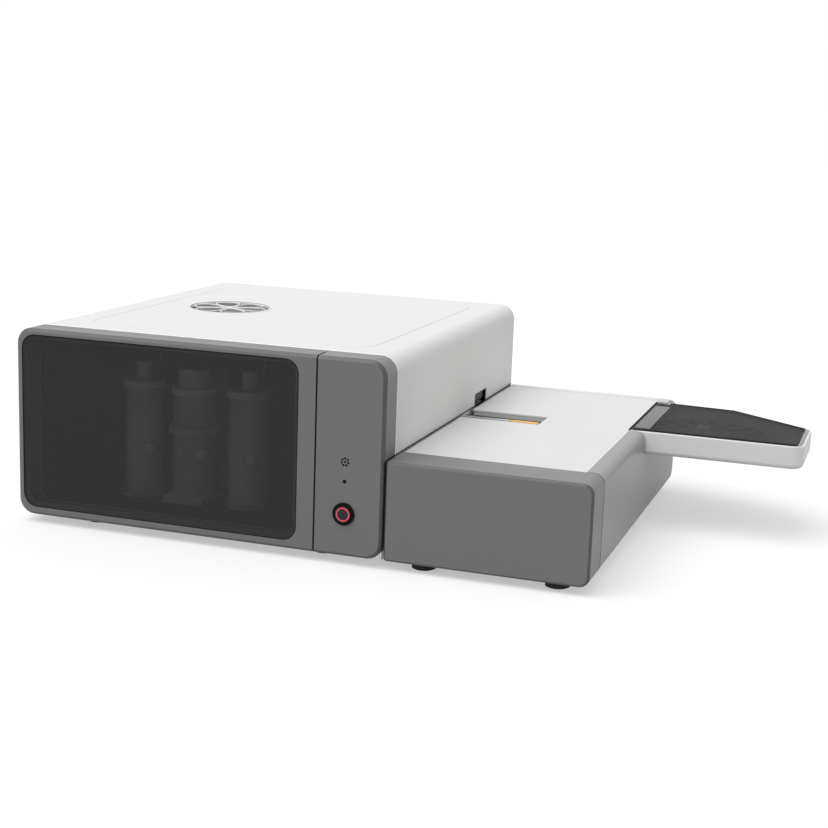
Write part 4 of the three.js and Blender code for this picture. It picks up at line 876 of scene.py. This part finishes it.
# A black bar along a path, for a seal and for painted shade in a gap or groove
def seal_and_shade_line(name, points, radius, **more):
    bent_bar(name, points, radius, "chassis", "rubber", SEAL_AND_SHADE_BLACK, **more)


def in_plane(y, outline):
    return [(x, y, z) for x, z in outline]


def slot_lips(name, spots, size):
    settings = {
        "Long": size[0] * MM,
        "High": size[1] * MM,
        "Lip": VENT_LIP * MM,
        "Turn": FACING["back"],
        "Finish": FINISHES["cover_grey"],
    }
    piece = grown(name, SLOT_LIPS, spots_of([at(*p) for p in spots]), settings)
    return settle(piece, "chassis", sharp=70.0)


# Screws
# Millimetres for a screw of size 1: the round head's profile, then its six-sided socket
HEAD_PROFILE = [(2.4, 0.0), (2.4, 0.5), (2.05, 1.05), (1.5, 1.3)]
HEAD_STEPS = 18
SOCKET_REACH = 1.05
SOCKET_TOP = 1.3
SOCKET_FLOOR = 0.45


def screw_head():
    shell = bmesh.new()

    def ring(up, reach_at):
        corners = []
        for i in range(HEAD_STEPS):
            angle = 2 * math.pi * i / HEAD_STEPS
            reach = reach_at(angle)
            corners.append(shell.verts.new((reach * math.cos(angle), reach * math.sin(angle), up)))
        return corners

    def six_sided(angle):
        return SOCKET_REACH / math.cos((angle % (math.pi / 3)) - math.pi / 6)

    rings = [[shell.verts.new((0, 0, 0))]]
    rings += [ring(up, lambda angle: radius) for radius, up in HEAD_PROFILE]
    rings += [ring(up, six_sided) for up in (SOCKET_TOP, SOCKET_FLOOR)]
    rings.append([shell.verts.new((0, 0, SOCKET_FLOOR))])
    skin_rings(shell, rings, HEAD_STEPS)
    bmesh.ops.recalc_face_normals(shell, faces=shell.faces)
    return new_piece("screw_head", shell, [])


def screws(name, spots, facing, body, slot, size=1.0, material=None):
    settings = {
        "Head": SCREW_HEAD,
        "Turn": FACING[facing],
        "Size": size * MM,
        "Seed": SCREW_SEED,
        "Finish": material or FINISHES[slot],
    }
    piece = grown(name, SCREW_HEADS, spots_of([at(*p) for p in spots]), settings)
    return settle(piece, body)


SCREW_HEAD = screw_head()
STEEL = FINISHES["bright_steel"]

# Name, places, side that the heads face, size
CHASSIS_SCREWS = [
    (
        "rear_panel_screws",
        [(x, 527.7, z) for x in (12, 160, 270, 452) for z in (14, 212)]
        + [(12, 527.7, 113), (452, 527.7, 113)],
        "back",
        1.0,
    ),
    ("inlet_screws", [(INLET_X, 530.5, z) for z in (15.5, 68.5)], "back", 0.8),
    ("gas_plate_screws", [(x, 528.4, z) for x in (304, 356) for z in (34, 52)], "back", 0.7),
    ("sampler_rear_screws", [(x, 528.0, z) for x in (480, 686) for z in (14, 96)], "back", 1.0),
    (
        "liner_screws",
        [(x, 194.5, z) for x in (24, 130, 232, 358) for z in (22, 200)],
        "front",
        0.9,
    ),
    (
        "base_pan_screws",
        [(x, y, 0.0) for x in (36, 232, 428) for y in (70, 262, 512)],
        "down",
        0.9,
    ),
    ("furnace_screws", [(x, y, 184.0) for x in (140, 279, 418) for y in (318, 446)], "up", 1.3),
    ("supply_screws", [(x, y, 54.3) for x in (296, 424) for y in (214, 290)], "up", 0.9),
    ("board_screws", [(x, 58.0, z) for x in (394, 453) for z in (22, 195)], "front", 0.9),
]
for name, spots, facing, size in CHASSIS_SCREWS:
    screws(name, spots, facing, "chassis", "bright_steel", size)
screws("knob_screw", [(CAROUSEL_X, CAROUSEL_Y, 110.0)], "up", "carousel", "tray_white", 1.1, STEEL)

# Door
bent_bar(
    "window_bead",
    in_plane(0.35, rounded_rectangle(8.5, 10.7, 361.3, 218.7, 16.2)),
    0.62,
    "door",
    "window_tint",
    SEAL_AND_SHADE_BLACK,
    closed=True,
    sides=8,
)

# Black strips in the door split, the sampler seam and the gap between the units: painted shade of
# those gaps
SPLIT_EDGE = [(21.5, 225.5), (4.6, 225.5), (0.6, 221.5), (0.6, 4.5), (4.6, 0.6)]
seal_and_shade_line("split_seal", [(SPLIT_X, y, z) for y, z in SPLIT_EDGE], 1.0, bend=1.5)
# A bright rounded lip along the cover's front edge: painted highlight of the edge catching the
# light
COVER_EDGE = corner_arc(19, 207, 18.9, 180, 90) + corner_arc(446, 207, 18.9, 90, 0)
bent_bar(
    "cover_lip",
    in_plane(36.9, [(0.1, 4)] + COVER_EDGE + [(464.9, 4)]),
    0.85,
    "chassis",
    "cover_white",
    LIP_HIGHLIGHT_WHITE,
    sides=10,
)
BEZEL_EDGE = corner_arc(688.5, 12, 11.75, -90, 0) + corner_arc(688.5, 102.6, 11.75, 0, 90)
seal_and_shade_line("sampler_seam", in_plane(55.65, BEZEL_EDGE + [(680.5, 114.35)]), 0.42, sides=8)
UNIT_GAP = [(2.6, 2), (2.6, 112.5), (4.6, 114.4), (527, 114.4)]
seal_and_shade_line("unit_seal", [(465.4, y, z) for y, z in UNIT_GAP], 0.6, sides=8)
COMPARTMENT_EDGE = rounded_rectangle(8, 11.5, 374, 212, 6)
seal_and_shade_line("compartment_seal", in_plane(37.2, COMPARTMENT_EDGE), 0.75, closed=True, sides=8)

# Control strip
# Black plugs fill the sound holes: painted shade of the dark inside of each hole
SOUND_HOLE = [(0.0, 0.9), (0.97, 0.9), (0.97, 0.0), (1.35, 0.0), (1.25, -0.12), (0.0, -0.16)]
SPEAKER_X, SPEAKER_Z = 419.3, 109.2
SPEAKER_RING = 4.1
OUTER_HOLES = 7
hole_angles = [2 * math.pi * i / OUTER_HOLES for i in range(OUTER_HOLES)]
hole_spots = [(SPEAKER_RING * math.sin(a), SPEAKER_RING * math.cos(a)) for a in hole_angles]
for number, (dx, dz) in enumerate([(0.0, 0.0)] + hole_spots):
    turned(
        f"speaker_mesh_{number}",
        SOUND_HOLE,
        at(SPEAKER_X + dx, 0, SPEAKER_Z + dz),
        "chassis",
        SEAL_AND_SHADE_BLACK,
        axis="Y",
        steps=12,
    )

# Fan, in millimetres
GUARD_Z = 225.4
PETALS = 6
PETAL_WIRE = 0.95
PETAL_BEND = 5
# Distance from the fan's centre, and half the angle that the petal spans there
PETAL_OUTLINE = [(4.5, 0), (12, 21), (22, 27), (34, 26), (43, 21), (48, 12), (49.6, 0)]
BLADES = 7
BLADE_Z = 209.9
BLADE_ROOT = 17.4
BLADE_REACH = 33.6
BLADE_ROWS = 6
CHORD_POINTS = 6
# Lean and sweep in degrees; the rest in millimetres
ROOT_LEAN, LEAN_LOSS = 40, 16
ROOT_CHORD, CHORD_GAIN = 19, 9
TIP_SWEEP = 14
BLADE_ARCH = 1.6
HALF_THICK = 0.6
EDGE_SHARE, MIDDLE_SHARE = 0.35, 0.65


def petal_guard():
    outline = [(radius, math.radians(half)) for radius, half in PETAL_OUTLINE]
    loop = outline + [(radius, -angle) for radius, angle in reversed(outline[1:-1])]
    points = [
        (radius * math.cos(angle) * MM, radius * math.sin(angle) * MM, 0) for radius, angle in loop
    ]
    white = FINISHES["cover_white"]
    settings = {"Radius": PETAL_WIRE * MM, "Bend": PETAL_BEND * MM, "Sides": 8, "Finish": white}
    petal = grown("petal", BENT_BAR, path_of(points, True), settings)
    shell = bmesh.new()
    shell.from_mesh(petal.data)
    bpy.data.objects.remove(petal)
    ring = {"Count": PETALS, "Place": at(FAN_X, FAN_Y, GUARD_Z), "Finish": white}
    guard = grown("petal_guard", ROUND_COPIES, shell, ring)
    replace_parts(settle(guard, "chassis"), "fan_grille")


def fan_blades():
    # One blade, row by row from its root to its tip: it grows wider, flatter and is swept back
    shell = bmesh.new()
    rows = []
    for step in range(BLADE_ROWS + 1):
        share = step / BLADE_ROWS
        radius = BLADE_ROOT + share * BLADE_REACH
        lean = math.radians(ROOT_LEAN - LEAN_LOSS * share)
        chord = ROOT_CHORD + CHORD_GAIN * share
        sweep = math.radians(TIP_SWEEP) * share
        row = []
        for side in (HALF_THICK, -HALF_THICK):
            for point in range(CHORD_POINTS):
                part = point / (CHORD_POINTS - 1)
                along = (part - 0.5) * chord if side > 0 else (0.5 - part) * chord
                inward = 1 - (2 * along / chord) ** 2
                arch = BLADE_ARCH * inward
                thick = side * (EDGE_SHARE + MIDDLE_SHARE * math.sqrt(max(inward, 0)))
                reach = along * math.cos(lean) - (arch + thick) * math.sin(lean)
                up = along * math.sin(lean) + (arch + thick) * math.cos(lean)
                angle = sweep + reach / radius
                spot = (radius * math.cos(angle), radius * math.sin(angle), up)
                row.append(shell.verts.new(Vector(spot) * MM))
        rows.append(row)
    skin_rings(shell, rows, 2 * CHORD_POINTS)
    shell.faces.new(rows[0])
    shell.faces.new(list(reversed(rows[-1])))
    ring = {"Count": BLADES, "Place": at(FAN_X, FAN_Y, BLADE_Z), "Finish": FAN_GREY}
    blades = settle(grown("fan_blades", ROUND_COPIES, shell, ring), "fan")
    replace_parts(blades, "fan_rotor")


def fan_hub():
    hub = [(0, 201.4), (17.2, 201.4), (18, 202.2), (18, 215.4), (16.6, 217.6), (13, 218.4)]
    hub += [(12.4, 217.8), (4, 217.8), (0, 217.8)]
    turned("fan_hub", hub, at(FAN_X, FAN_Y, 0), "fan", FAN_GREY)


petal_guard()
fan_blades()
fan_hub()
turned(
    "grille_ring",
    [(50.2, 224), (55, 224), (55, 226.1), (54.5, 226.4), (51, 226.45), (50.2, 225.9), (50.2, 224)],
    at(FAN_X, FAN_Y, 0),
    "chassis",
    FINISHES["cover_white"],
    steps=72,
)
turned(
    "grille_hub",
    [(0, 224.3), (5.6, 224.3), (6.2, 225.2), (5.6, 226.2), (3.4, 226.4), (2.6, 225.8), (0, 225.8)],
    at(FAN_X, FAN_Y, 0),
    "chassis",
    FINISHES["cover_white"],
)
# A black ring in the groove round the grille: painted shade of the groove
GROOVE_STEPS = 64
GROOVE_END = 360 - 360 / GROOVE_STEPS
groove = corner_arc(0, 0, 51.4, 0, GROOVE_END, GROOVE_STEPS - 1)
groove_path = [(FAN_X + x, FAN_Y + y, 226.3) for x, y in groove]
seal_and_shade_line("grille_groove", groove_path, 0.5, closed=True, sides=8)

# Boat feed
trim("slot_strip_steel", (470.6, 279.8, 113.1), (529.6, 288.4, 114.1), "bright_steel", 0.2)
trim("slot_strip_brass", (530.4, 279.2, 113.1), (567.0, 288.4, 114.3), "brass", 0.25)
# A black strip behind the slot's steel strip: painted shade of the gap there
trim("slot_seal", (470.6, 288.9, 112.9), (569.2, 294.0, 114.0), "rubber", 0.15, SEAL_AND_SHADE_BLACK)
for number, x in enumerate((474, 526, 536, 562)):
    low, high = (x, 273.7, 112.6), (x + 4, 281.0, 113.3)
    trim(f"slot_strip_tab_{number}", low, high, "bright_steel", 0.15)
FOLD = corner_arc(DECK_FOLD_Y, DECK_FOLD_Z, 6.4, 90, 0)
FOLD += corner_arc(DECK_FOLD_Y, DECK_FOLD_Z, 6.05, 0, 90)
REAR_STRIP = [(507.6, 114.62), (507.6, 115.0)] + FOLD
swept_plate(
    "deck_rear_strip",
    [at(470.2, y, z) for y, z in REAR_STRIP],
    Vector((210 * MM, 0, 0)),
    "chassis",
    FINISHES["plate_white"],
    0.1,
)
# A black strip along the deck's edge beside the tray: painted shade of the gap there
trim("deck_side_seal", (677.8, 297.6, 114.55), (680.4, 494, 114.95), "rubber", 0.1, SEAL_AND_SHADE_BLACK)
thread = {
    "Turns": 33.0,
    "Long": 132 * MM,
    "Radius": 3.4 * MM,
    "Ridge": 0.45 * MM,
    "Place": at(471.8, 280, 93),
    "Finish": STEEL,
}
settle(grown("lead_screw_thread", SCREW_THREAD, spots_of([]), thread), "screw")

# Tray
END_GREY = finish("lid_end_grey", (0.2, 0.2, 0.2), 0.5, gloss=0.1, dust=0.0)
# Black strips on the lid's front and back edges: painted shade along those edges
LID_BACK_SHADE = [(700, 491.7), (783.6, 484.2), (880.5, 411.9)]
LID_BACK_SHADE += [(880.5, 406.1), (781.8, 479.9), (700, 487.1)]
TRAY_END = [(882.7, 301), (884.6, 302.6), (887, 309), (887.6, 318), (887.6, 405), (882.7, 408.6)]
THIN = Vector((0, 0, 0.3 * MM))
bar(
    "lid_end_strip",
    (682.6, 312.5, 115.1),
    (701.8, 463.5, 115.5),
    "lid",
    "lid_tint",
    END_GREY,
    0.15,
)
bar(
    "lid_front_seal",
    (683.0, 300.2, 115.1),
    (880.6, 308.5, 115.4),
    "lid",
    "lid_tint",
    SEAL_AND_SHADE_BLACK,
    0.1,
)
lid_back_shade = [at(x, y, 115.1) for x, y in LID_BACK_SHADE]
swept_plate("lid_back_seal", lid_back_shade, THIN, "lid", SEAL_AND_SHADE_BLACK, 0.1)
# A thin grey sheet on the tray's end: painted shade of the recessed ledge there
tray_end = [at(x, y, 114.6) for x, y in TRAY_END]
swept_plate("tray_end_pad", tray_end, THIN, "chassis", LEDGE_SHADE_GREY, 0.1)


# Reaction compartment
def granule_column(side, radius):
    profile = [(0, 20), (radius, 20), (radius, 128), (0, 128)]
    shell = turned_shell(profile, at(VESSEL_X[side], VESSEL_Y, 0), steps=28)
    bmesh.ops.recalc_face_normals(shell, faces=shell.faces)
    settings = {
        "Density": GRAIN_DENSITY,
        "Radius": GRAIN_RADIUS * MM,
        "Seed": GRAIN_SEED,
        "Finish": GRAIN_WHITE,
    }
    piece = grown(f"drying_grains_{side}", PACKED_GRAINS, shell, settings)
    piece.data.shade_smooth()
    piece.data.set_sharp_from_angle(angle=math.radians(60))
    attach(piece, "chassis")


def vessel_plug(side, wall, turn):
    shell = turned_shell(PLUG, at(VESSEL_X[side], VESSEL_Y - wall, PLUG_Z), "Y", 24)
    aside = Matrix.Rotation(math.radians(turn), 3, "Z")
    axis = at(VESSEL_X[side], VESSEL_Y, 0)
    bmesh.ops.rotate(shell, verts=shell.verts, cent=axis, matrix=aside)
    plug = new_piece(f"vessel_plug_{side}", shell, [FINISHES["tray_white"]])
    settle(plug, "chassis")


def gas_pipe(side, neck, up):
    x, y = VESSEL_X[side], VESSEL_Y
    path = [(x, y + neck - 1, up), (x, 160, up), (x, 160, up + 16), (x, 194.5, up + 16)]
    glass = FINISHES["vessel_glass"]
    bent_bar(f"gas_pipe_{side}", path, 2.4, "chassis", "vessel_glass", glass, bend=9)


LIQUID = [(0, 23), (23.6, 23), (24.8, 24.4), (24.8, 97), (24.4, 96.2), (22, 95.6), (0, 95.6)]
STEM = [(0, 60), (1.4, 60), (1.4, 136), (2.4, 137), (2.4, 141), (0, 141)]
STIRRER = [(0, -11), (1.8, -10.6), (2.8, -9), (2.9, 0), (2.8, 9), (1.8, 10.6), (0, 11)]
PLUG = [(0, -6.2), (3.8, -6.2), (5.1, -5.5), (5.5, -4.2), (5.5, 0.9), (0, 0.9)]
PLUG_Z = 74
STEM_ASIDE = 9
cell_x = VESSEL_X["middle"]
cell_base = at(cell_x, VESSEL_Y, 0)

granule_column("left", 20.2)
granule_column("right", 22.2)
turned("electrolyte", LIQUID, cell_base, "chassis", ELECTROLYTE)
for side, x in (("left", cell_x - STEM_ASIDE), ("right", cell_x + STEM_ASIDE)):
    stem_base = at(x, VESSEL_Y, 0)
    turned(f"electrode_stem_{side}", STEM, stem_base, "chassis", STEEL, steps=16)
    low, high = (x - 0.5, 108, 42), (x + 0.5, 124, 62)
    trim(f"electrode_sheet_{side}", low, high, "bright_steel", 0.2, PLATINUM)
turned(
    "stirrer_bar",
    STIRRER,
    at(cell_x, VESSEL_Y, 27.4),
    "chassis",
    FINISHES["tray_white"],
    axis="X",
    steps=20,
)
vessel_plug("left", 24.5, 43)
vessel_plug("middle", 28, 40)
vessel_plug("right", 26.5, 27)
gas_pipe("left", 9.3, 168)
gas_pipe("middle", 20, 166)
gas_pipe("right", 9.3, 168)

# Furnace port
shield = (459.4, 349.0, 116.8), (460.2, 401.0, 129.2)
trim("port_shield_top", *shield, "sheet_steel", 0.2, PORT_GREY)
shield = (457.4, 350.5, 72), (458.2, 361.5, 111)
trim("port_shield_back", *shield, "sheet_steel", 0.2, SCORCHED_STEEL)

# Back
REAR_VENTS = [(83 + 58 * column, 527.9, 112 + 11 * row) for column in range(3) for row in range(7)]
SAMPLER_VENTS = [(604, 528.1, 36 + 10 * row) for row in range(6)]
slot_lips("rear_vent_lips", REAR_VENTS, (47, 5))
slot_lips("sampler_vent_lips", SAMPLER_VENTS, (61, 5))
for number, (dx, dz) in enumerate(((-7, -1.5), (7, -1.5), (0, 3))):
    x, z = INLET_X + dx, INLET_Z + dz
    low, high = (x - 1, 516, z - 2.6), (x + 1, 527.5, z + 2.6)
    trim(f"inlet_blade_{number}", low, high, "bright_steel", 0.3)
trim("fuse_drawer", (386, 530.3, 50), (404, 531.4, 63), "black_plastic", 0.4)
trim("fuse_drawer_lip", (391, 531.2, 60.2), (399, 532.4, 62.2), "black_plastic", 0.3)

bpy.data.objects.remove(SCREW_HEAD)


# Studio
def seen_directly(tree):
    path = tree.nodes.new("ShaderNodeLightPath").outputs
    either = {"operation": "MAXIMUM"}
    rays = [path["Is Camera Ray"], path["Is Glossy Ray"]]
    first = add_node(tree, "ShaderNodeMath", either, rays)
    return add_node(
        tree, "ShaderNodeMath", either, [first.outputs[0], path["Is Transmission Ray"]]
    ).outputs[0]


def floor_finish():
    material = bpy.data.materials.new("pale_floor")
    material.use_nodes = True
    tree = material.node_tree
    shader = tree.nodes["Principled BSDF"]
    shader.inputs["Roughness"].default_value = 0.9
    shader.inputs["Specular IOR Level"].default_value = 0.0
    seen = seen_directly(tree)
    shades = [(level, level, level, 1) for level in (FLOOR_BOUNCE, FLOOR_SEEN)]
    tree.links.new(blended(tree, seen, *shades), shader.inputs["Base Color"])
    lift = add_node(tree, "ShaderNodeMath", {"operation": "MULTIPLY"}, [seen, FLOOR_LIFT])
    shader.inputs["Emission Color"].default_value = (1, 1, 1, 1)
    tree.links.new(lift.outputs[0], shader.inputs["Emission Strength"])
    return material


def studio_floor():
    shell = bmesh.new()
    corners = [(-1, -1), (1, -1), (1, 1), (-1, 1)]
    shell.faces.new([shell.verts.new((x * FLOOR_HALF, y * FLOOR_HALF, 0)) for x, y in corners])
    new_piece("studio_floor", shell, [floor_finish()])


def studio_light():
    lamp = bpy.data.lights.new("key_light", "SUN")
    lamp.energy = KEY_STRENGTH
    lamp.angle = KEY_SPREAD
    item = bpy.data.objects.new("key_light", lamp)
    item.rotation_euler = Vector(KEY_DIRECTION).to_track_quat("Z", "Y").to_euler()
    bpy.context.scene.collection.objects.link(item)


def studio_world():
    world = bpy.data.worlds.new("studio_world")
    world.use_nodes = True
    tree = world.node_tree
    level = add_node(
        tree, "ShaderNodeMapRange", Value=seen_directly(tree), To_Min=ROOM_LIGHT, To_Max=1.0
    )
    tree.nodes["Background"].inputs["Color"].default_value = (1, 1, 1, 1)
    tree.links.new(level.outputs[0], tree.nodes["Background"].inputs["Strength"])
    bpy.context.scene.world = world


def photo_camera():
    yaw, pitch, roll = CAMERA_YAW, CAMERA_PITCH, CAMERA_ROLL
    across = Vector((math.cos(yaw), math.sin(yaw), 0))
    level = Vector((-math.sin(yaw), math.cos(yaw), 0))
    ahead = level * math.cos(pitch) + Vector((0, 0, math.sin(pitch)))
    above = across.cross(ahead)
    right = across * math.cos(roll) + above * math.sin(roll)
    up = above * math.cos(roll) - across * math.sin(roll)
    camera = bpy.data.cameras.new("photo_camera")
    camera.sensor_width = SENSOR_WIDE
    camera.lens = CAMERA_FOCAL / PICTURE_WIDE * SENSOR_WIDE
    item = bpy.data.objects.new("photo_camera", camera)
    turned_to = Matrix((right, up, -ahead)).transposed().to_4x4()
    item.matrix_world = Matrix.Translation(CAMERA_PLACE) @ turned_to
    bpy.context.scene.collection.objects.link(item)
    bpy.context.scene.camera = item


studio_floor()
studio_light()
studio_world()
photo_camera()
bpy.context.scene.view_settings.view_transform = "Standard"
